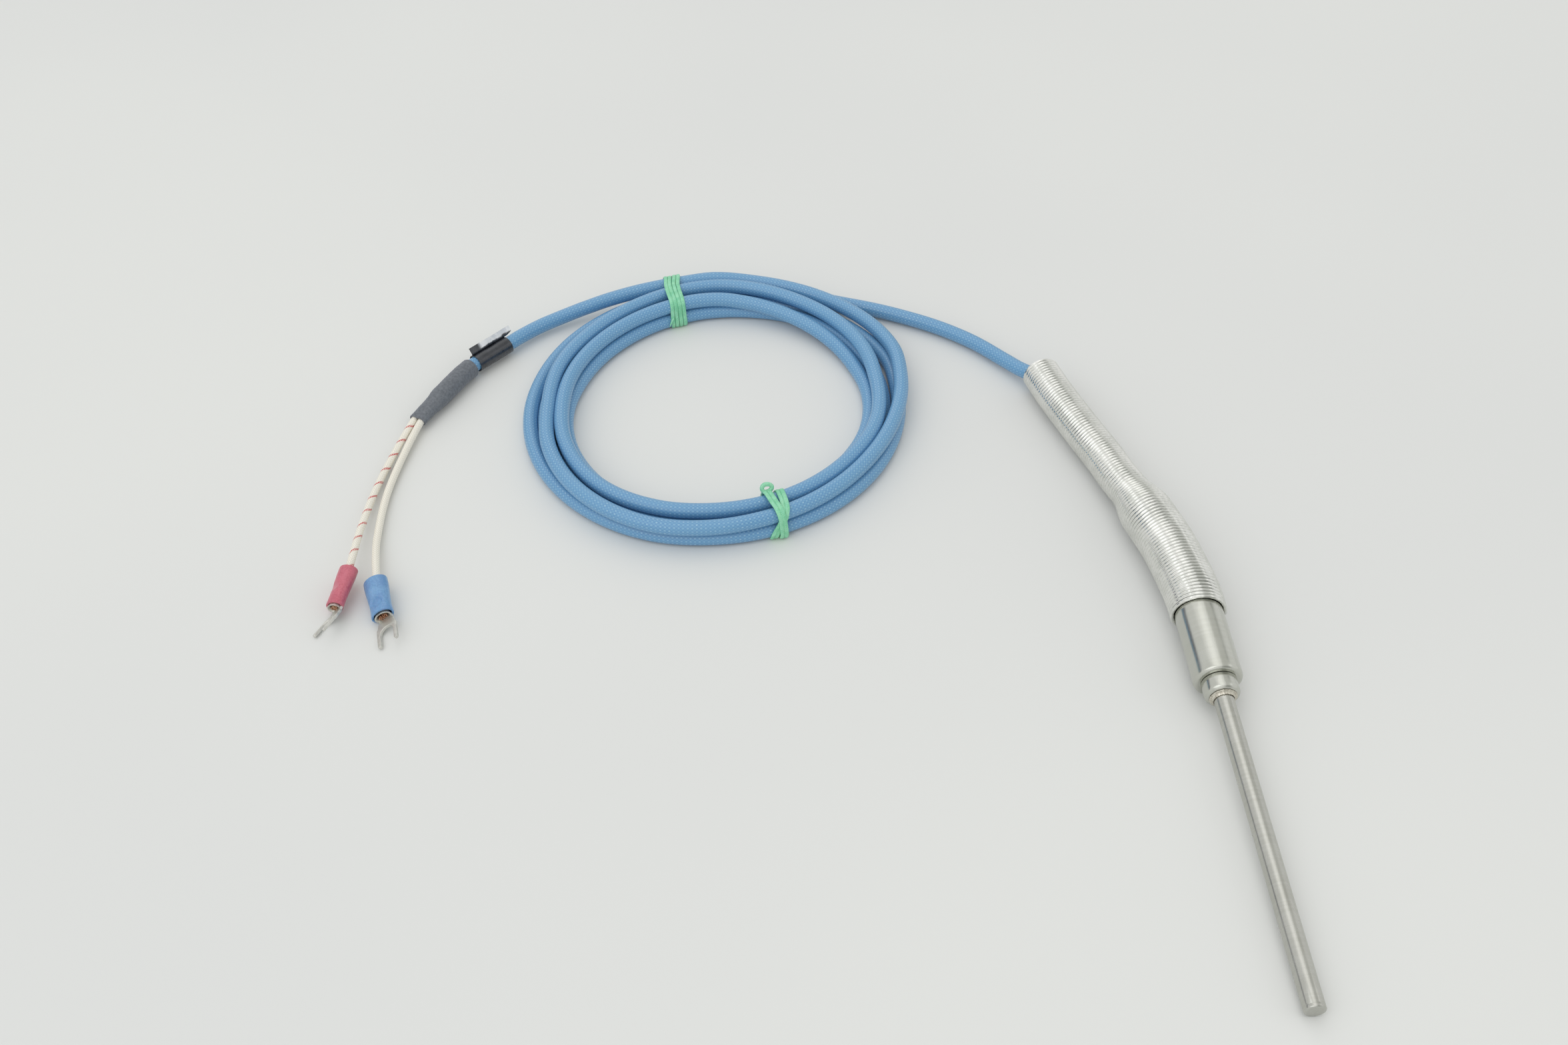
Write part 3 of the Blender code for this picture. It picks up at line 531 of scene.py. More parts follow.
def polished(name, light, dark, rough, lines, bump):
    """Turned steel: fine lines round it, faint long scratches and a little smearing."""
    graph = Finish(name, **METAL)
    uv = graph.place("UV")
    rings = graph.noise(graph.scaled(uv, (30.0, lines, 1.0)), 1.0, 2.0)
    smears = graph.noise(graph.place("Object"), 160.0, 4.0)
    scratches = graph.noise(graph.scaled(uv, (2600.0, 60.0, 1.0)), 1.0)
    marks = graph.spread(scratches, 0.62, 0.75)
    share = graph.spread(graph.plus(rings, smears), 0.75, 1.25)
    gloss = graph.plus(graph.spread(smears, 0.3, 0.7, *rough), graph.times(marks, 0.06))
    colour = graph.mix(share, srgb(*dark), srgb(*light))
    return graph.done(colour, gloss, graph.plus(rings, marks), bump * MM)


def braid(name, girth, strands, pitch, tones, fleck=None, tracer=None, **constants):
    """Crossing strands wound round a cord, from UVs in metres. Where a strand lies on top it gets a painted highlight,
    and the gaps between strands get painted shade.
    """
    graph = Finish(name, **constants)
    # The three tones are a painted highlight, the strands' own colour, and painted shade for the gaps.
    light, middle, dark = (srgb(*tone) for tone in tones)
    across, along, _ = graph.parts("UV")
    turn = graph.times(across, strands / girth)
    run = graph.times(along, 1 / pitch)
    wobble = graph.times(graph.noise(graph.place("Object"), 900.0, 2.0), 0.22)
    first = graph.plus(graph.plus(turn, run), wobble)
    second = graph.math("SUBTRACT", graph.math("SUBTRACT", turn, run), wobble)
    waves = [graph.math("SINE", graph.times(value, pi)) for value in (first, second)]
    over = graph.times(*waves)
    relief = graph.math("ABSOLUTE", over)
    fibre = graph.noise(graph.scaled(graph.place("UV"), (5000.0, 1400.0, 1.0)), 1.0)
    clouds = graph.noise(graph.place("Object"), 70.0, 2.0)
    # Painted shade: the gaps between strands go dark.
    colour = graph.mix(graph.spread(relief, 0.0, 0.5), dark, middle)
    # Painted highlight: lighter streaks where a strand lies on top.
    painted_highlight = graph.times(graph.spread(over, 0.15, 0.9), graph.spread(fibre, 0.3, 0.7, 0.5, 1.0))
    colour = graph.mix(painted_highlight, colour, light)
    colour = graph.mix(graph.spread(clouds, 0.35, 0.65, 0.0, 0.22), colour, middle)
    if fleck:
        tone, amount = fleck
        spots = graph.times(graph.spread(over, 0.55, 0.8), graph.spread(fibre, 0.5, 0.62))
        colour = graph.mix(graph.times(spots, amount), colour, srgb(*tone))
    if tracer:
        tone, tracer_pitch, share = tracer
        helix = graph.plus(graph.times(across, 1 / girth), graph.times(along, 1 / tracer_pitch))
        there = graph.math("LESS_THAN", graph.math("FRACT", helix), share)
        line = graph.times(there, graph.spread(relief, 0.12, 0.4))
        colour = graph.mix(line, colour, srgb(*tone))
    height = graph.plus(relief, graph.times(fibre, 0.3))
    return graph.done(colour, graph.spread(fibre, 0.2, 0.8, 0.34, 0.52), height, 0.00005)


def tape_material():
    """Glossy black film, with a pale painted reflection of glare on the loose end except at its lower left corner."""
    graph = Finish("black_tape", Coat_Weight=0.5, Coat_Roughness=0.1)
    across, along, _ = graph.parts("UV")
    place = graph.place("Object")
    fine = graph.noise(place, 1400.0, 4.0)
    coarse = graph.noise(place, 500.0)
    share = graph.spread(coarse, 0.35, 0.65)
    black = graph.mix(share, srgb(34, 37, 44), srgb(52, 55, 62))
    # Painted reflection: the pale glare seen on the loose end of the glossy film.
    painted_glare = graph.mix(share, srgb(206, 210, 216), srgb(232, 234, 236))
    edge = graph.plus(across, graph.times(graph.math("SUBTRACT", coarse, 0.5), 0.0012))
    # Where the painted glare goes: the loose end, save its lower left corner.
    there = graph.times(graph.spread(edge, 0.0009, 0.0013), graph.spread(along, 0.0100, 0.0084))
    colour = graph.mix(there, black, painted_glare)
    return graph.done(colour, graph.spread(fine, 0.3, 0.7, 0.22, 0.34), coarse, 0.00004)


def make_materials():
    # Painted highlight, the leads' own cream, and painted shade for the gaps between strands.
    cream_highlight_base_shade = ((252, 249, 239), (243, 239, 227), (222, 216, 202))
    lead = (tau * LEAD_RADIUS, 10, 0.0009, cream_highlight_base_shade)
    # Painted highlight, the jacket's own blue, and painted shade for the gaps between strands.
    blue_highlight_base_shade = ((134, 180, 210), (108, 162, 201), (93, 144, 193))
    made = {name: speckled(name, *row) for name, row in SPECKLED.items()}
    made |= {name: polished(name, *row) for name, row in POLISHED.items()}
    made["black_tape"] = tape_material()
    made["cable_jacket"] = braid(
        "cable_jacket", tau * CABLE_RADIUS, 14, 0.0012, blue_highlight_base_shade,
        fleck=((190, 216, 232), 0.34),
        Coat_Weight=0.45, Coat_Roughness=0.22, Specular_IOR_Level=0.5,
    )
    made["lead_braid"] = braid("lead_braid", *lead, Sheen_Weight=0.15)
    made["lead_braid_traced"] = braid(
        "lead_braid_traced", *lead, tracer=((200, 40, 54), 0.0060, 0.15), Sheen_Weight=0.15
    )
    return made


# Mesh tools.


def smooth_route(points, spacing):
    """Points about one spacing apart, read from a Catmull-Rom curve through the given points."""
    knots = [Vector(point) for point in points]
    ends = [2 * knots[0] - knots[1]] + knots + [2 * knots[-1] - knots[-2]]
    fine = []
    steps = 12
    for before, start, end, after in zip(ends, ends[1:], ends[2:], ends[3:]):
        square = 2 * before - 5 * start + 4 * end - after
        cube = 3 * start - before - 3 * end + after
        for step in range(steps):
            t = step / steps
            fine.append(0.5 * (2 * start + (end - before) * t + square * t**2 + cube * t**3))
    fine.append(knots[-1])
    reach = measured(fine)
    count = max(2, round(reach[-1] / spacing))
    return [walked(fine, reach, reach[-1] * step / count) for step in range(count + 1)]


def measured(line):
    """The distance along a line to each of its points."""
    reach = [0.0]
    for a, b in zip(line, line[1:]):
        reach.append(reach[-1] + (b - a).length)
    return reach


def walked(line, reach, target):
    """The point at a distance along a line."""
    low = 0
    high = len(line) - 1
    while high - low > 1:
        middle = (low + high) // 2
        if reach[middle] <= target:
            low = middle
        else:
            high = middle
    share = (target - reach[low]) / max(1e-12, reach[high] - reach[low])
    return line[low].lerp(line[high], min(1.0, max(0.0, share)))


def eased(knots, x):
    """A smooth curve through (x, y) knots with any spacing."""
    last = len(knots) - 1
    i = 0
    while i < last - 1 and knots[i + 1][0] <= x:
        i += 1

    def slope(k):
        a = knots[max(0, k - 1)]
        b = knots[min(last, k + 1)]
        return (b[1] - a[1]) / (b[0] - a[0])

    (x0, y0), (x1, y1) = knots[i], knots[i + 1]
    span = x1 - x0
    t = min(1.0, max(0.0, (x - x0) / span))
    over = 3 * t**2 - 2 * t**3
    bend = (t**3 - 2 * t**2 + t) * slope(i) + (t**3 - t**2) * slope(i + 1)
    return (1 - over) * y0 + over * y1 + span * bend


def directions(line):
    """The direction of a line at each of its points."""
    last = len(line) - 1
    return [(line[min(i + 1, last)] - line[max(i - 1, 0)]).normalized() for i in range(last + 1)]


def carried_frames(line):
    """Two normals at each point of a line, carried along it without twist."""
    ways = directions(line)
    side = ways[0].cross(UP).normalized()
    frames = []
    for way in ways:
        side = (side - way * side.dot(way)).normalized()
        frames.append((side, side.cross(way)))
    return frames


def circle(count):
    """The cosine and sine of even steps round a circle."""
    return [(cos(tau * k / count), sin(tau * k / count)) for k in range(count)]


def oval(centre, side, up, half_width, half_height, count, square=2.0):
    """A ring of points round a centre: round where square is 2, and squarer above it."""
    ring = []
    for c, s in circle(count):
        across = half_width * copysign(abs(c) ** (2 / square), c)
        rise = half_height * copysign(abs(s) ** (2 / square), s)
        ring.append(centre + side * across + up * rise)
    return ring


def skin(rings, closed, uv):
    """A shape through rings of points, and its vertices. uv(ring, point) is in metres."""
    shape = bmesh.new()
    layer = shape.loops.layers.uv.new("metres")
    rows = [[shape.verts.new(point) for point in ring] for ring in rings]
    count = len(rings[0])
    for i in range(len(rings) if closed else len(rings) - 1):
        following = rows[(i + 1) % len(rings)]
        for k in range(count):
            m = (k + 1) % count
            face = shape.faces.new((rows[i][k], rows[i][m], following[m], following[k]))
            places = ((i, k), (i, k + 1), (i + 1, k + 1), (i + 1, k))
            for corner, place in zip(face.loops, places):
                corner[layer].uv = uv(*place)
    return shape, rows


def loft(rings, closed=False, along=None):
    """A skin through rings with UVs round and along them. An open one has its ends capped."""
    count = len(rings[0])
    middle = rings[len(rings) // 2]
    girth = sum((middle[k] - middle[k - 1]).length for k in range(count))
    centres = [sum(ring, Vector()) / count for ring in rings]
    if along is None:
        along = measured(centres + [centres[0]] if closed else centres)
    shape, rows = skin(rings, closed, lambda i, k: (k * girth / count, along[i]))
    for end in () if closed else (0, -1):
        hub = shape.verts.new(centres[end])
        for k in range(count):
            shape.faces.new((rows[end][k], rows[end][(k + 1) % count], hub))
    return settled(shape)


def settled(shape, sharp=35.0):
    bmesh.ops.recalc_face_normals(shape, faces=shape.faces)
    mesh = bpy.data.meshes.new("mesh")
    shape.to_mesh(mesh)
    shape.free()
    mesh.shade_smooth()
    mesh.set_sharp_from_angle(angle=radians(sharp))
    return mesh


def rounded_rings(centres, frames, radius, sides, round_start, round_end):
    """Round rings along a line, with a domed end where asked."""
    rings = [oval(c, s, u, radius, radius, sides) for c, (s, u) in zip(centres, frames)]
    ways = directions(centres)

    def dome(end, way):
        made = []
        for turn in (62, 36, 14):
            turn = radians(turn)
            across = radius * sin(turn)
            middle = centres[end] + way * (radius * 0.5 * cos(turn))
            made.append(oval(middle, *frames[end], across, across, sides))
        return made

    if round_start:
        rings = dome(0, -ways[0])[::-1] + rings
    if round_end:
        rings = rings + dome(-1, ways[-1])
    return rings


def round_tube(line, radius, sides, round_ends=True):
    return loft(rounded_rings(line, carried_frames(line), radius, sides, round_ends, round_ends))


def band_mesh(line, outward, width, thickness, closed=True):
    """A flat elastic strand along a line, broad side outward. An open one tapers to its end."""
    count = len(line)
    rings = []
    for i, point in enumerate(line):
        before = line[i - 1] if closed or i else line[0]
        after = line[(i + 1) % count] if closed or i + 1 < count else line[-1]
        way = (after - before).normalized()
        up = (outward[i] - way * outward[i].dot(way)).normalized()
        swell = 1 + 0.06 * noise.noise(point * 900)
        if not closed:
            swell *= 1 - 0.75 * (i / (count - 1)) ** 2
        half_width, half_height = width / 2 * swell, thickness / 2 * swell
        rings.append(oval(point, way.cross(up), up, half_width, half_height, 14, 2.5))
    return loft(rings, closed)


def joined(meshes):
    """One mesh from several, keeping their UVs and sharp edges."""
    objects = [linked("part", mesh) for mesh in meshes]
    bpy.context.view_layer.update()
    with bpy.context.temp_override(
        active_object=objects[0], selected_editable_objects=objects, selected_objects=objects
    ):
        bpy.ops.object.join()
    mesh = objects[0].data
    bpy.data.objects.remove(objects[0])
    return mesh


def turned(profile, closed=True):
    """A turned piece about local Z, from (radius, height) points."""
    x, y = Vector((1, 0, 0)), Vector((0, 1, 0))
    rings = [oval(UP * height, x, y, radius, radius, 96) for radius, height in profile]
    flat = [Vector((radius, height, 0)) for radius, height in profile]
    return loft(rings, closed, measured(flat + [flat[0]] if closed else flat))


def arc(centre, radius, start, end, steps):
    points = []
    for step in range(steps + 1):
        angle = radians(start + (end - start) * step / steps)
        x, y = radius * cos(angle), radius * sin(angle)
        points.append((centre[0] + x, centre[1] + y))
    return points


def piece(name, mesh, slot, body=None, stands_for=(), place=None):
    """A piece of the object: its finish, the body it rides on and the CAD nodes it stands for."""
    if place is not None:
        mesh.transform(place)
    mesh.name = name
    mesh.materials.clear()
    mesh.materials.append(materials[slot])
    obj = linked(name, mesh)
    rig.slot(obj, slot)
    if body:
        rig.ride(obj, body)
    if stands_for:
        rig.replaces(obj, *stands_for)
    return obj


# Blue cable and leads.


def coil_knots():
    """(angle, radius) and (angle, height) knots of the whole winding, in degrees and metres."""
    radii = list(COIL_START)
    for turn, row in enumerate(TURN_RADII):
        radii += [(angle + 360 * turn, radius) for angle, radius in zip(TURN_ANGLES, row)]
    radii += [(angle + 360 * len(TURN_RADII), radius) for angle, radius in COIL_END]
    radii = [(angle, radius * MM) for angle, radius in radii]
    thick = 2 * CABLE_RADIUS

    def resting(base, radius):
        """The height of a turn that rests on those below it."""
        below = [eased(radii, base + 360 * turn) for turn in range(RISING_TURN + 1)]
        if base > TURN_ANGLES[-3]:
            below = below[:RISING_TURN]
        rises = [sqrt(max(0.0, thick**2 - (radius - other) ** 2)) for other in below]
        return CABLE_RADIUS + max(rises + [thick * 0.7])

    heights = []
    for angle, radius in radii:
        turn = (angle - TURN_ANGLES[0]) // 360
        base = angle - 360 * turn
        if turn >= len(TURN_RADII):
            height = COIL_END_HEIGHTS[len(heights) - len(radii)] * MM
        elif turn >= FIRST_TOP_TURN:
            height = resting(base, radius)
        elif turn == RISING_TURN and base in RISING_HEIGHTS:
            height = RISING_HEIGHTS[base] * MM
        else:
            height = CABLE_RADIUS
        heights.append((angle, height))
    return radii, heights


def strands_at(angle, radii, heights):
    """(radius, height) of each turn that passes an angle."""
    found = []
    while angle <= radii[-1][0]:
        if angle >= radii[0][0]:
            found.append((eased(radii, angle), eased(heights, angle)))
        angle += 360
    return found


def axes_at(angle):
    """The directions out from the coil's centre and along its turns."""
    turn = radians(angle)
    out = Vector((cos(turn), sin(turn), 0))
    return out, Vector((-sin(turn), cos(turn), 0))


def cable_route(radii, heights):
    first, last = radii[0][0], radii[-1][0]
    steps = round((last - first) / COIL_STEP)
    winding = []
    for step in range(steps + 1):
        angle = first + (last - first) * step / steps
        turn = radians(angle)
        radius = eased(radii, angle)
        place = (radius * cos(turn), radius * sin(turn), eased(heights, angle))
        winding.append(COIL_CENTRE + Vector(place))

    def outside(points, hub, edge):
        return [point for point in points if (point - hub).length > (edge - hub).length]

    head = smooth_route(CABLE_HEAD_ROUTE + (winding[0], winding[4]), 2.6 * MM)
    tail = smooth_route((winding[-4], winding[-1]) + CABLE_TAIL_ROUTE, 2.6 * MM)
    head = outside(head, winding[4], winding[0])
    tail = outside(tail, winding[-4], winding[-1])
    return smooth_route(head + winding + tail, 2.4 * MM)


def make_cord(name, route, radius, sides, slot, *nodes):
    mesh = round_tube(route, radius, sides)
    return piece(name, mesh, slot, "cable_side", nodes), route


def make_lead(name, slot):
    route = smooth_route(LEAD_ROUTES[name], 1.2 * MM)
    return make_cord(f"lead_{name}_braid", route, LEAD_RADIUS, 18, slot, f"lead_{name}")


# Spring and the cable in it.


def spring_radius(y):
    narrow, wide = NARROWING
    share = min(1, max(0, (y - wide) / (narrow - wide)))
    share = share * share * (3 - 2 * share)
    mouth = min(1, max(0, 1 - (y - SPRING_ROUTE[0][1]) / SPRING_MOUTH) ** 2)
    plain = SPRING_FRONT_RADIUS + (SPRING_REAR_RADIUS - SPRING_FRONT_RADIUS) * share
    return plain - SPRING_GRIP * mouth


def make_spring():
    """The close-wound wire in two pieces, one for each bend."""
    line = smooth_route(SPRING_ROUTE, 0.5 * MM)
    reach = measured(line)
    frames = carried_frames(line)
    per_turn = 28
    turns = (reach[-1] - SPRING_WIRE) / SPRING_PITCH
    centres = []
    radials = []
    for step in range(int(turns * per_turn) + 1):
        travelled = SPRING_WIRE / 2 + SPRING_PITCH * step / per_turn
        angle = tau * step / per_turn
        k = min(len(line) - 1, int(travelled / reach[-1] * (len(line) - 1)))
        centre = walked(line, reach, travelled)
        side, up = frames[k]
        radial = side * cos(angle) + up * sin(angle)
        centres.append(centre + radial * (spring_radius(centre.y) - SPRING_WIRE / 2))
        radials.append(radial)
    wire_frames = [(out, out.cross(way)) for out, way in zip(radials, directions(centres))]
    split = next(i for i, point in enumerate(centres) if point.y > SPRING_SPLIT_Y)
    for name, span, ends in (
        ("spring_front", slice(0, split + 1), (True, False)),
        ("spring_rear", slice(split, None), (False, True)),
    ):
        rings = rounded_rings(centres[span], wire_frames[span], SPRING_WIRE / 2, 10, *ends)
        mesh = loft(rings)
        bend_with(piece(name, mesh, "spring_steel", stands_for=("strain_relief_spring",)), name)


def bend_with(obj, name):
    """The front bends from the strain relief to the probe, and the rear from the cable side."""
    if name.endswith("front"):
        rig.blend(
            obj, "strain_relief", "probe",
            start=(0.0021, 0.0510, 0.0067), end=(0.0100, 0.0120, 0.0076),
        )
    else:
        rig.blend(
            obj, "cable_side", "strain_relief",
            start=(-0.0130, 0.1000, 0.0057), end=(0.0006, 0.0559, 0.0062),
        )


def make_cable_in_spring():
    start = SHOULDER + Vector((0, cos(TIP_TILT), sin(TIP_TILT))) * -CABLE_START
    line = smooth_route((start,) + CABLE_IN_SPRING_ROUTE, 1.5 * MM)
    split = next(i for i, point in enumerate(line) if point.y > SPRING_SPLIT_Y)
    for name, part in (
        ("inner_cable_front", line[: split + 1]), ("inner_cable_rear", line[split:])
    ):
        mesh = round_tube(part, CABLE_RADIUS, 18, round_ends=False)
        bend_with(piece(name, mesh, "cable_jacket", stands_for=("cable_in_spring",)), name)


# Probe.


def weld_rings(bore):
    """Sections of a small rippled fillet, round the sheath."""
    foot = COLLAR_LENGTH + PROBE_FIT
    thin = 0.00018
    segments = 160
    rings = []
    for step in range(segments):
        angle = tau * step / segments
        out = Vector((cos(angle), sin(angle), 0))
        ripple = 1 + 0.05 * sin(angle * 26) + 0.04 * sin(angle * 11 + 1)
        size = WELD_SIZE * ripple
        hub = (bore + WELD_SIZE * 1.05, foot + WELD_SIZE * 1.05)
        section = [(bore, foot), (bore, foot + size), (bore + thin, foot + size)]
        section += arc(hub, WELD_SIZE * 0.78 / ripple, 190, 260, 5)
        section += [(bore + size, foot + thin), (bore + size, foot)]
        rings.append([out * radius + UP * height for radius, height in section])
    return rings


def make_probe():
    axis = Matrix.Translation(SHOULDER) @ Matrix.Rotation(radians(90) + TIP_TILT, 4, "X")
    bore = SHEATH_RADIUS + PROBE_FIT
    seam = SHEATH_REACH - TIP_CAP
    inner_top = seam - TIP_WALL
    groove = 0.00003
    sheath = [(0.0004, inner_top), (SHEATH_BORE, inner_top), (SHEATH_BORE, SHEATH_REAR)]
    sheath += [(SHEATH_RADIUS, SHEATH_REAR)]
    sheath += [(SHEATH_RADIUS, seam * share / 12) for share in range(12)]
    sheath += [(SHEATH_RADIUS, seam - 0.00008), (SHEATH_RADIUS - groove, seam)]
    sheath += [(SHEATH_RADIUS, seam + 0.00008)]
    sheath += arc((SHEATH_RADIUS - TIP_EDGE, SHEATH_REACH - TIP_EDGE), TIP_EDGE, 0, 90, 6)
    sheath += [(0.0012, SHEATH_REACH + 0.00001), (0.0003, SHEATH_REACH + 0.00001)]

    heel = COLLAR_HEEL
    collar = [(bore, PROBE_FIT), (COLLAR_RADIUS - heel, PROBE_FIT)]
    collar += arc((COLLAR_RADIUS - heel, heel + PROBE_FIT), heel, -90, 0, 3)
    hub = (COLLAR_RADIUS - COLLAR_SHOULDER, COLLAR_LENGTH - COLLAR_SHOULDER)
    collar += arc(hub, COLLAR_SHOULDER, 0, 86, 8)
    collar += [(bore + WELD_SIZE, COLLAR_LENGTH - 0.00004), (bore, COLLAR_LENGTH)]

    step_back = SLEEVE_SHOWN + SLEEVE_UNDER
    heel = 0.00015
    sleeve = [(bore, 0), (SLEEVE_RADIUS - SLEEVE_SHOULDER, 0)]
    sleeve += arc((SLEEVE_RADIUS - SLEEVE_SHOULDER, -SLEEVE_SHOULDER), SLEEVE_SHOULDER, 80, 0, 5)
    sleeve += [(SLEEVE_RADIUS, -SLEEVE_SHOWN * share / 8) for share in range(1, 8)]
    sleeve += arc((SLEEVE_RADIUS - heel, -step_back + heel), heel, 0, -80, 3)
    sleeve += [(SLEEVE_SPIGOT, -step_back - 0.0002), (SLEEVE_SPIGOT, -SLEEVE_LENGTH)]
    sleeve += [(SLEEVE_BORE, -SLEEVE_LENGTH), (SLEEVE_BORE, -SLEEVE_FRONT_WALL)]
    sleeve += [(bore, -SLEEVE_FRONT_WALL)]

    for name, mesh, slot, *nodes in (
        ("sheath_shell", turned(sheath, False), "sheath_steel", "sheath_tube", "tip_cap"),
        ("collar_turned", turned(collar), "sleeve_steel", "neck_collar"),
        ("weld_ripple", loft(weld_rings(bore), True), "weld_bead", "weld_ring"),
        ("sleeve_turned", turned(sleeve), "sleeve_steel", "transition_sleeve"),
    ):
        piece(name, mesh, slot, "probe", nodes, axis)


# Ties.


def hull(points):
    """The convex outline of points in a plane, counter-clockwise."""
    ordered = sorted(set(points))

    def half(some):
        chain = []
        for p in some:
            while len(chain) > 1 and (
                (chain[-1][0] - chain[-2][0]) * (p[1] - chain[-2][1])
                - (chain[-1][1] - chain[-2][1]) * (p[0] - chain[-2][0])
            ) <= 0:
                chain.pop()
            chain.append(p)
        return chain[:-1]

    return half(ordered) + half(ordered[::-1])


def wrap_line(angle, clearance):
    """An even outline round all the turns, as (radius, height), from the inner top edge."""
    count = 96
    points = []
    for strand in strands_at(angle, *winding_knots):
        points += [
            (round(x, 6), round(max(y, clearance * 0.5), 6))
            for x, y in arc(strand, CABLE_RADIUS + clearance, 0, 345, 23)
        ]
    outline = [Vector((x, y, 0)) for x, y in hull(points)]
    outline.append(outline[0])
    reach = measured(outline)
    line = [walked(outline, reach, reach[-1] * step / count) for step in range(count)]
    middle = sum(line, Vector()) / count
    start = max(range(count), key=lambda i: line[i].y - line[i].x)
    line = line[start:] + line[:start]
    if (line[1] - line[0]).x < 0:
        line = [line[0]] + line[:0:-1]
    return line, middle


def band_round(angle, shares, clearance, offsets):
    """A strand round the turns."""
    line, middle = wrap_line(angle, clearance)
    out, along = axes_at(angle)
    knots = [(share, value * MM) for share, value in zip(shares, offsets)]
    points = []
    outward = []
    for i, place in enumerate(line):
        shift = eased(knots, i / len(line))
        points.append(COIL_CENTRE + out * place.x + UP * place.y + along * shift)
        tangent = (line[(i + 1) % len(line)] - line[i - 1]).normalized()
        square = Vector((-tangent.y, tangent.x, 0))
        if square.dot(place - middle) < 0:
            square = -square
        outward.append(out * square.x + UP * square.y)
    return band_mesh(points, outward, BAND_WIDTH, BAND_THICKNESS)


def ear_loop(out, along, centre):
    """A loose loop of the strand that stands up from the turns."""
    upright = (UP * cos(EAR_LEAN) + out * sin(EAR_LEAN)).normalized()
    points = []
    outward = []
    for c, s in circle(48):
        way = along * (c * EAR_HALVES[0]) + upright * (s * EAR_HALVES[1] * (1 - 0.15 * c))
        points.append(centre + way)
        outward.append(way.normalized())
    return band_mesh(points, outward, EAR_WIDTH, EAR_WIDTH * 0.9)


def whisker(out, along, root):
    """The cut end of the strand, which tapers off."""
    bend = root - out * 0.0005 + along * 0.0007
    end = root - out * 0.0010 + along * 0.0016 - UP * 0.0016
    line = smooth_route((root + UP * 0.0008, bend, end), 0.25 * MM)
    return band_mesh(line, [UP] * len(line), BAND_WIDTH * 0.6, BAND_THICKNESS * 0.8, False)


def make_tie(name):
    angle = TIE_ANGLES[name]
    out, along = axes_at(angle)
    shares, *bands = TIE_BANDS[name]
    meshes = [band_round(angle, shares, *band) for band in bands]
    strands = strands_at(angle, *winding_knots)
    inner = min(radius for radius, _ in strands)
    top = max(height for _, height in strands) + CABLE_RADIUS
    if name == "tie_front":
        centre = COIL_CENTRE + out * (inner - 0.0002) + UP * (top + 0.0006) + along * EAR_SHIFT
        meshes.append(ear_loop(out, along, centre))
    else:
        foot = inner - CABLE_RADIUS - 0.0004
        root = COIL_CENTRE + out * foot + along * 0.0024 + UP * 0.0036
        meshes.append(whisker(out, along, root))
    return piece(f"{name}_bands", joined(meshes), "green_tie", "cable_side", (name,))


# Tape.


def tape_outline(wrap_steps, flag_steps):
    """The film seen along the cable: wound round it, then turned away as a flag."""
    outline = []
    for step in range(wrap_steps + 1):
        share = step / wrap_steps
        angle = TAPE_FLAG_LEAN - tau * TAPE_TURNS * (1 - share)
        radius = CABLE_RADIUS + 0.00008 + TAPE_FILM * 1.15 * TAPE_TURNS * share
        outline.append(Vector((radius * cos(angle), radius * sin(angle))))
    out = Vector((cos(TAPE_FLAG_LEAN), sin(TAPE_FLAG_LEAN)))
    tangent = Vector((-out.y, out.x))
    for step in range(1, flag_steps + 1):
        turn = TAPE_FLAG_BEND * min(1, step / flag_steps * 2.6)
        heading = tangent * cos(turn) + out * sin(turn)
        outline.append(outline[-1] + heading * (TAPE_FLAG_HEIGHT / flag_steps))
    return outline


def make_tape():
    """A film wound round the cable, whose loose end stands off along it."""
    way = (TAPE_END - TAPE_START).normalized()
    side = way.cross(UP).normalized()
    up = side.cross(way)
    length = (TAPE_END - TAPE_START).length
    wrap_steps = 90
    flag_steps = 10
    spans = 26
    outline = tape_outline(wrap_steps, flag_steps)
    normals = [Vector((tangent.y, -tangent.x)) for tangent in directions(outline)]
    rings = []
    for row in range(spans + 1):
        v = row / spans
        sides = ([], [])
        for k, (point, normal) in enumerate(zip(outline, normals)):
            loose = max(0.0, (k - wrap_steps) / flag_steps)
            if loose:
                overrun = TAPE_FLAG_OVERRUN * max(0.0, 1 - v * 1.6) * min(1.0, loose * 3)
                place = length * v - overrun
            else:
                place = length * (0.5 + (v - 0.5) * min(1.0, 0.92 + 0.08 * k / wrap_steps))
            flutter = loose * (0.00022 * sin(v * 9 + 0.8) + 0.00010 * sin(v * 21))
            for chain, offset in zip(sides, (TAPE_FILM / 2, -TAPE_FILM / 2)):
                x, y = point + normal * (offset + flutter)
                chain.append(TAPE_START + way * place + side * x + up * y)
        rings.append(sides[0] + sides[1][::-1])
    girths = measured(outline)
    count = len(rings[0])

    def uv(i, k):
        k %= count
        across = girths[min(k, count - 1 - k)] - girths[wrap_steps]
        return across, (rings[i][k] - TAPE_START).dot(way)

    shape, rows = skin(rings, False, uv)
    for row in (rows[0], rows[-1]):
        for k in range(count // 2 - 1):
            shape.faces.new((row[k], row[k + 1], row[count - 2 - k], row[count - 1 - k]))
    mesh = settled(shape, 50.0)
    return piece("tape_film", mesh, "black_tape", "cable_side", ("tape_wrap",))


# Heat shrink.


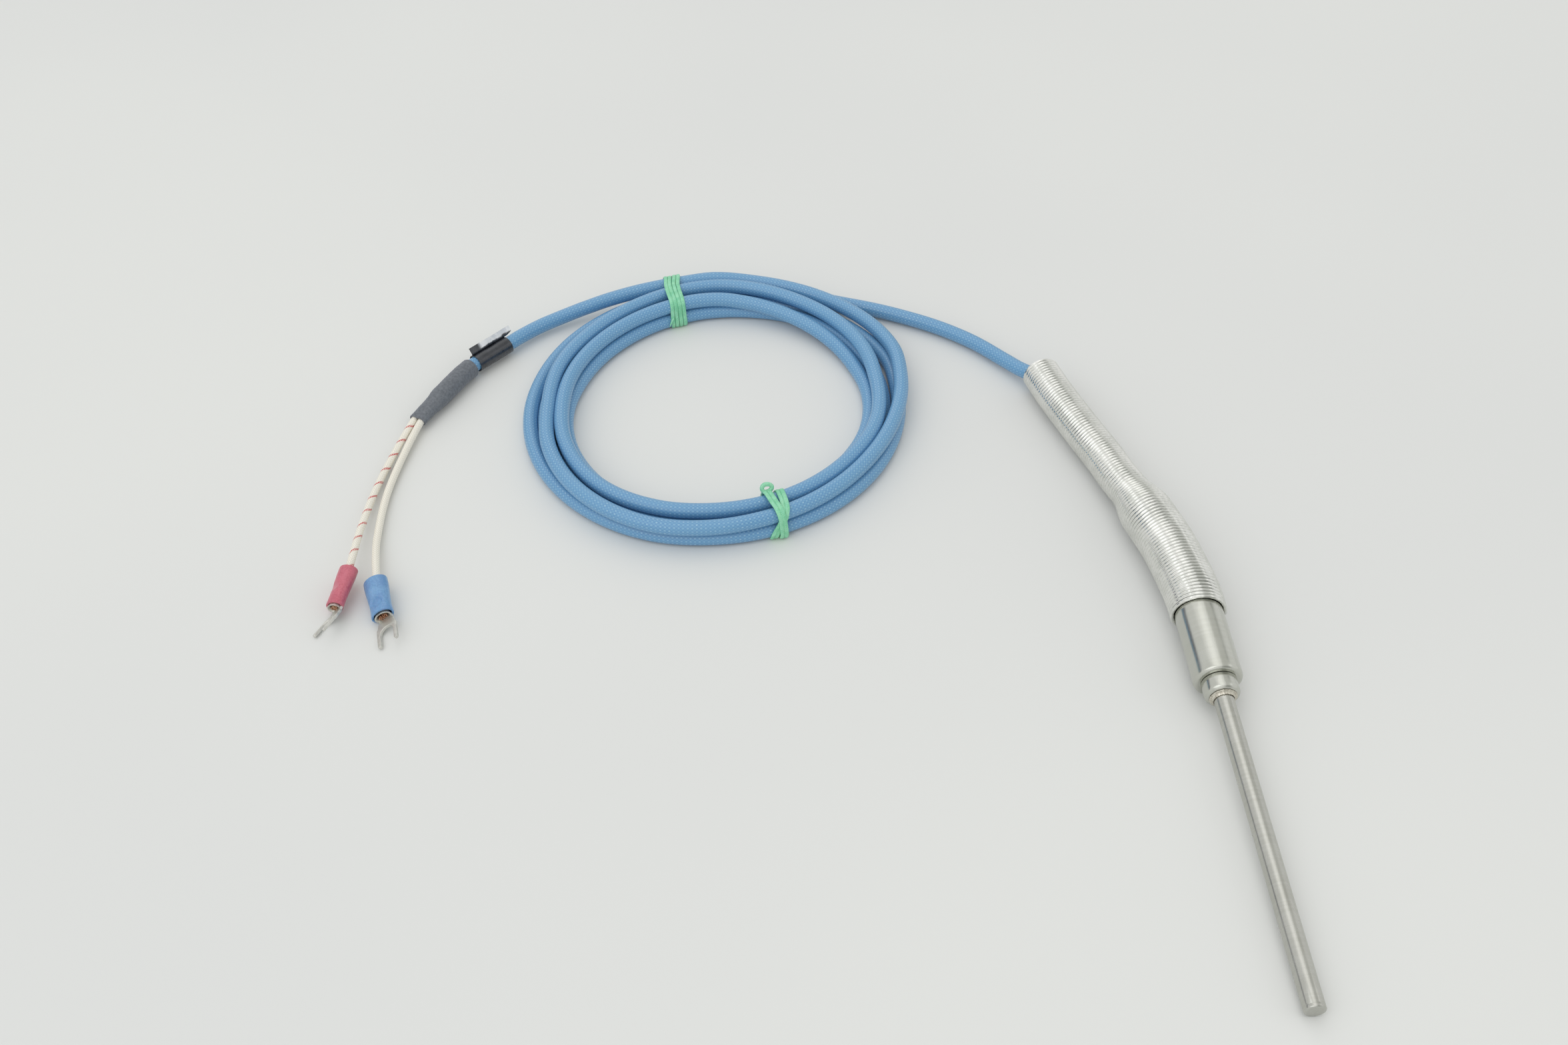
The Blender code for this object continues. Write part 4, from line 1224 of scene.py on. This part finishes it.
def make_shrink():
    """A shrunk sleeve, round over the cable and drawn in between the two leads at its lip."""
    knots = [Vector(station[:3]) for station in SHRINK_STATIONS]
    centres = smooth_route(knots, 0.6 * MM)
    ways = directions(centres)
    reach = measured(centres)
    stations = measured(knots)
    scale = reach[-1] / stations[-1]
    widths, tops = (
        [(s * scale, row[side]) for s, row in zip(stations, SHRINK_STATIONS)] for side in (3, 4)
    )
    sides = 56
    last = len(centres) - 1

    def ring(i, inset=0.0, push=0.0):
        side = ways[i].cross(UP).normalized()
        up = side.cross(ways[i])
        share = reach[i] / reach[-1]
        pinch = 0.30 * max(0.0, (share - 0.55) / 0.45) ** 1.5
        half_width = eased(widths, reach[i]) - inset * SHRINK_WALL
        half_height = eased(tops, reach[i]) - inset * SHRINK_WALL
        points = []
        for x, y in circle(sides):
            y *= 1 - pinch * exp(-((x / 0.38) ** 2))
            place = centres[i] + side * (x * half_width) + up * (y * half_height)
            ripple = noise.noise(place * 420) * 0.00009 + noise.noise(place * 1500) * 0.00002
            out = (place - centres[i]).normalized()
            points.append(place + out * ripple + ways[i] * push)
        return points

    rings = [ring(0, 1, -0.00012), ring(0, 0.35, -0.00022)]
    rings += [ring(i) for i in range(last + 1)]
    rings += [ring(last, 0.35, 0.00022), ring(last, 1, 0.00012)]
    rings += [ring(i, 1) for i in range(last - 1, 0, -2)]
    mesh = loft(rings, True)
    return piece("shrink_sleeve", mesh, "grey_shrink", "cable_side", ("heat_shrink",))


# Terminals.


def terminal_frame(origin, heading, tilt, roll):
    """A frame whose local -Y points to the fork's tip, and whose X is the fork's width."""
    heading, tilt, roll = (radians(angle) for angle in (heading, tilt, roll))
    level = Vector((cos(heading), sin(heading), 0))
    ahead = cos(tilt)
    forward = Vector((sin(heading) * ahead, -cos(heading) * ahead, -sin(tilt)))
    upright = level.cross(-forward)
    side = level * cos(roll) + upright * sin(roll)
    face = upright * cos(roll) - level * sin(roll)
    place = Matrix((side, -forward, face)).transposed().to_4x4()
    place.translation = origin
    return place


def socket_mesh(size, dent):
    """The insulating socket: rounded rims, a waist, and a crimp dent in its upper face."""
    widths = [(back, half) for back, half, _ in SOCKET_STATIONS]
    tops = [(back, half) for back, _, half in SOCKET_STATIONS]
    length = SOCKET_STATIONS[-1][0]
    dent_x, dent_back, radius_x, radius_back, depth = dent
    steps = 34
    sides = 72
    lip = SOCKET_LIP
    thin = SOCKET_WALL - 0.0001
    end = 0.00002

    def ring(back, inset):
        half_width = eased(widths, back) * size - inset
        half_height = eased(tops, back) * size - inset
        points = []
        for c, s in circle(sides):
            x, z = c * half_width, s * half_height
            if z > 0 and inset < SOCKET_WALL:
                near = ((x - dent_x) / radius_x) ** 2 + ((back - dent_back) / radius_back) ** 2
                z -= depth * exp(-near * near * 1.2)
            points.append(Vector((x, -back, z)))
        return points

    rings = []
    for turn in (10, 45, 75):
        turn = radians(turn)
        rings.append(ring(lip * (1 - cos(turn)) * 0.5, lip * (1 - sin(turn)) * 0.9))
    for step in range(1, steps):
        rings.append(ring(lip + (length - 2 * lip) * step / steps, 0.0))
    rings += [ring(length - lip * 0.3, lip * 0.25), ring(length - end, lip * 0.8)]
    rings += [ring(length - end, thin), ring(length - lip, SOCKET_WALL)]
    rings += [ring(length * step / steps, SOCKET_WALL) for step in range(steps - 3, 2, -4)]
    rings += [ring(lip, SOCKET_WALL), ring(end, thin)]
    along = measured([points[0] for points in rings + rings[:1]])
    return loft(rings, True, along)


def fork_outline():
    half = FORK_WIDTH / 2
    slot = FORK_SLOT / 2
    neck = FORK_NECK / 2
    tip = (half - slot) / 2
    right = [(neck, -TONGUE_START), (neck, -BARREL_FRONT - 0.0003)]
    right += [(neck + 0.00035, -BARREL_FRONT - 0.0009), (half - 0.0004, -FORK_ROOT + 0.0007)]
    right += [(half - 0.0001, -FORK_ROOT + 0.0002), (half, -FORK_ROOT - 0.0004)]
    right += arc((half - tip, -TERMINAL_LENGTH + tip), tip, 0, -180, 10)
    right += arc((0, -FORK_ROOT - slot), slot, 0, 90, 12)
    return right + [(-x, y) for x, y in reversed(right[:-1])]


def stamped_plate(outline):
    """A flat plate of an outline, with rounded edges."""
    curve = bpy.data.curves.new("plate", "CURVE")
    curve.dimensions = "2D"
    curve.fill_mode = "BOTH"
    curve.extrude = FORK_THICKNESS / 2 - FORK_EDGE
    curve.bevel_depth = FORK_EDGE
    curve.bevel_resolution = 2
    curve.offset = -FORK_EDGE
    spline = curve.splines.new("POLY")
    spline.points.add(len(outline) - 1)
    spline.use_cyclic_u = True
    for point, (x, y) in zip(spline.points, outline):
        point.co = (x, y, 0, 1)
    obj = linked("plate", curve)
    bpy.context.view_layer.update()
    graph = bpy.context.evaluated_depsgraph_get()
    mesh = bpy.data.meshes.new_from_object(obj.evaluated_get(graph))
    bpy.data.objects.remove(obj)
    shape = bmesh.new()
    shape.from_mesh(mesh)
    bpy.data.meshes.remove(mesh)
    bmesh.ops.remove_doubles(shape, verts=shape.verts, dist=2e-6)
    return shape


def tongue_mesh(bend):
    """The fork's tongue, bent up from the barrel."""
    shape = stamped_plate(fork_outline())
    cuts = 8
    for step in range(cuts + 1):
        bmesh.ops.bisect_plane(
            shape, geom=shape.verts[:] + shape.edges[:] + shape.faces[:], dist=1e-7,
            plane_co=(0, -BARREL_FRONT - FORK_FOLD * step / cuts, 0), plane_no=(0, 1, 0),
        )
    seat = FORK_THICKNESS / 2 - BARREL_HALF[1] - 0.0001
    full = radians(bend)
    radius = FORK_FOLD / full
    for vert in shape.verts:
        run = -BARREL_FRONT - vert.co.y
        height = vert.co.z
        if run > 0:
            angle = full * min(1.0, run / FORK_FOLD)
            beyond = max(0.0, run - FORK_FOLD)
            c, s = cos(angle), sin(angle)
            vert.co.y = -BARREL_FRONT - (radius * s + beyond * cos(full) - height * s)
            height = radius * (1 - c) + beyond * sin(full) + height * c
        vert.co.z = seat + height
    layer = shape.loops.layers.uv.new("metres")
    for face in shape.faces:
        for corner in face.loops:
            corner[layer].uv = corner.vert.co.xy
    return settled(shape, 30.0)


def barrel_mesh(size):
    """The metal barrel inside the socket, flared at its front, with its rolled seam on top."""
    swell = 1 + (size - 1) * 4
    flare = [(share, grow * swell) for share, grow in BARREL_FLARE]
    sides = 48

    def ring(share, grow, inset):
        y = -(BARREL_REAR + (BARREL_FRONT - BARREL_REAR) * share)
        points = []
        for k in range(sides):
            angle = tau * (k + 0.5) / sides
            seam = 0.00016 * exp(-(((angle - pi / 2) / 0.14) ** 2))
            wide, high = (half + grow - inset - (0 if inset else seam) for half in BARREL_HALF)
            points.append(Vector((wide * cos(angle), y, high * sin(angle))))
        return points

    rings = [ring(share, grow, 0.0) for share, grow in flare]
    rings += [ring(1.0, flare[-1][1], BARREL_WALL * 0.55)]
    rings += [ring(0.98, flare[-2][1], BARREL_WALL * 0.75)]
    rings += [ring(share, grow, BARREL_WALL) for share, grow in reversed(flare[:-2])]
    return loft(rings, True)


def strand_mesh():
    """Nineteen fine bare wires that fill the barrel, and end about level with its front."""
    meshes = []
    places = [(0.0, 0.0)]
    places += [(0.00042, tau * k / 6) for k in range(6)]
    places += [(0.00082, tau * (k + 0.5) / 12) for k in range(12)]
    for spread, angle in places:
        x = spread * cos(angle) * 1.25
        z = spread * sin(angle) * 0.72
        past = 0.0003 * random.random() - 0.0003
        fan = 1.0 + 0.2 * random.random()
        start = Vector((x * 0.9, -BARREL_REAR, z * 0.9))
        end = Vector((x * fan, -BARREL_FRONT - past, z * fan))
        route = smooth_route((start, start.lerp(end, 0.5), end), 0.8 * MM)
        meshes.append(round_tube(route, 0.00019, 10))
    return joined(meshes)


def make_terminal(colour, origin, heading, tilt, roll, bend, size, dent):
    place = terminal_frame(origin, heading, tilt, roll)
    fork = joined([barrel_mesh(size), tongue_mesh(bend)])
    return [
        piece(f"{colour}_{part}", mesh, slot, "cable_side", (node,), place)
        for part, mesh, slot, node in (
            (
                "socket", socket_mesh(size, dent), f"{colour}_insulator",
                f"terminal_{colour}_socket",
            ),
            ("fork", fork, "tinned_terminal", f"terminal_{colour}_fork"),
            ("strands", strand_mesh(), "bare_copper", f"conductor_end_{colour}"),
        )
    ]


def paint_inner_nodes():
    for name, node in frame["nodes"].items():
        for start, slot in INNER_FINISHES.items():
            if name.startswith(start):
                if not node.material_slots:
                    node.data.materials.append(materials[slot])
                for place in node.material_slots:
                    place.material = materials[slot]


# Floor and light.


def make_floor():
    graph = Finish("floor", Specular_IOR_Level=0.25)
    clouds = graph.noise(graph.place("Object"), 3.0, 2.0)
    share = graph.spread(clouds, 0.3, 0.7)
    colour = graph.mix(share, srgb(224, 225, 224), srgb(228, 229, 227))
    size = 3.0
    low = -0.0002
    mesh = bpy.data.meshes.new("floor")
    corners = [(-size, -size, low), (size, -size, low), (size, size, low), (-size, size, low)]
    mesh.from_pydata(corners, [], [(0, 1, 2, 3)])
    mesh.materials.append(graph.done(colour, graph.spread(clouds, 0.3, 0.7, 0.55, 0.62)))
    floor = linked("floor", mesh)
    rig.stage(floor)


def add_light(name, place, size, power, colour):
    data = bpy.data.lights.new(name, "AREA")
    data.shape = "RECTANGLE"
    data.size, data.size_y = size
    data.energy = power
    data.color = colour
    light = linked(name, data)
    light.location = place
    target = Vector((-0.10, 0.06, 0.0))
    light.rotation_euler = (target - Vector(place)).to_track_quat("-Z", "Y").to_euler()


def make_light():
    """A pale room, greyer on the right and darker low on the left, with two large soft boxes."""
    world = bpy.data.worlds.new("studio")
    bpy.context.scene.world = world
    world.use_nodes = True
    graph = Graph(world.node_tree)
    x, y, z = graph.parts("Generated")
    right = graph.times(graph.spread(x, 0.18, 0.30), graph.spread(x, 0.74, 0.60))
    middle = graph.times(graph.spread(x, -0.52, -0.40), graph.spread(x, 0.10, -0.02))
    low = graph.times(graph.spread(z, 0.24, 0.10), graph.spread(y, -0.25, 0.20))
    dark = graph.times(graph.spread(x, -0.40, -0.62), low)
    sky = graph.mix(right, (0.79, 0.795, 0.785, 1), (0.38, 0.39, 0.37, 1))
    sky = graph.mix(middle, sky, (0.98, 0.98, 0.97, 1))
    sky = graph.mix(dark, sky, (0.18, 0.19, 0.22, 1))
    background = graph.nodes["Background"].inputs
    graph.feed(background["Color"], sky)
    background["Strength"].default_value = 1.05
    add_light("key", (0.47, 0.22, 1.48), (2.6, 2.0), 4.6, (1.0, 0.985, 0.965))
    add_light("fill", (-0.9, -0.6, 1.2), (1.2, 1.2), 3.0, (0.96, 0.98, 1.0))
    bpy.context.scene.view_settings.view_transform = "Standard"


make_camera()
materials = make_materials()
winding_knots = coil_knots()
cable, cable_line = make_cord(
    "cable", cable_route(*winding_knots), CABLE_RADIUS, 20, "cable_jacket",
    "cable_head", "cable_coil", "cable_tail",
)
leads = {
    "positive": make_lead("positive", "lead_braid_traced"),
    "negative": make_lead("negative", "lead_braid"),
}
ties = [make_tie(name) for name in TIE_BANDS][::-1]
tape = make_tape()
shrink = make_shrink()
terminals = {colour: make_terminal(colour, **settings) for colour, settings in TERMINALS.items()}
make_spring()
make_cable_in_spring()
make_probe()
paint_inner_nodes()
make_floor()
make_light()

cable_length = measured(cable_line)[-1]
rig.cord(
    cable, exit=CABLE_EXIT, length=cable_length, diameter=CABLE_DIAMETER, far_end="fitting",
    stiffness="medium", lay="coiled", path=cable_line, with_pieces=[shrink, tape, *ties],
)
for lead_name, colour in (("positive", "red"), ("negative", "blue")):
    lead, lead_line = leads[lead_name]
    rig.cord(
        lead, exit=LEAD_ROUTES[lead_name][1], length=measured(lead_line)[-1],
        diameter=2 * LEAD_RADIUS, far_end="connector", stiffness="limp", lay="loose",
        path=lead_line, with_pieces=terminals[colour],
    )

visual_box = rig.bounds()
with open("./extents.json", "w") as file:
    json.dump(
        {
            "cad": [list(map(float, corner)) for corner in cad_box],
            "visual": [list(map(float, corner)) for corner in visual_box],
        },
        file,
    )
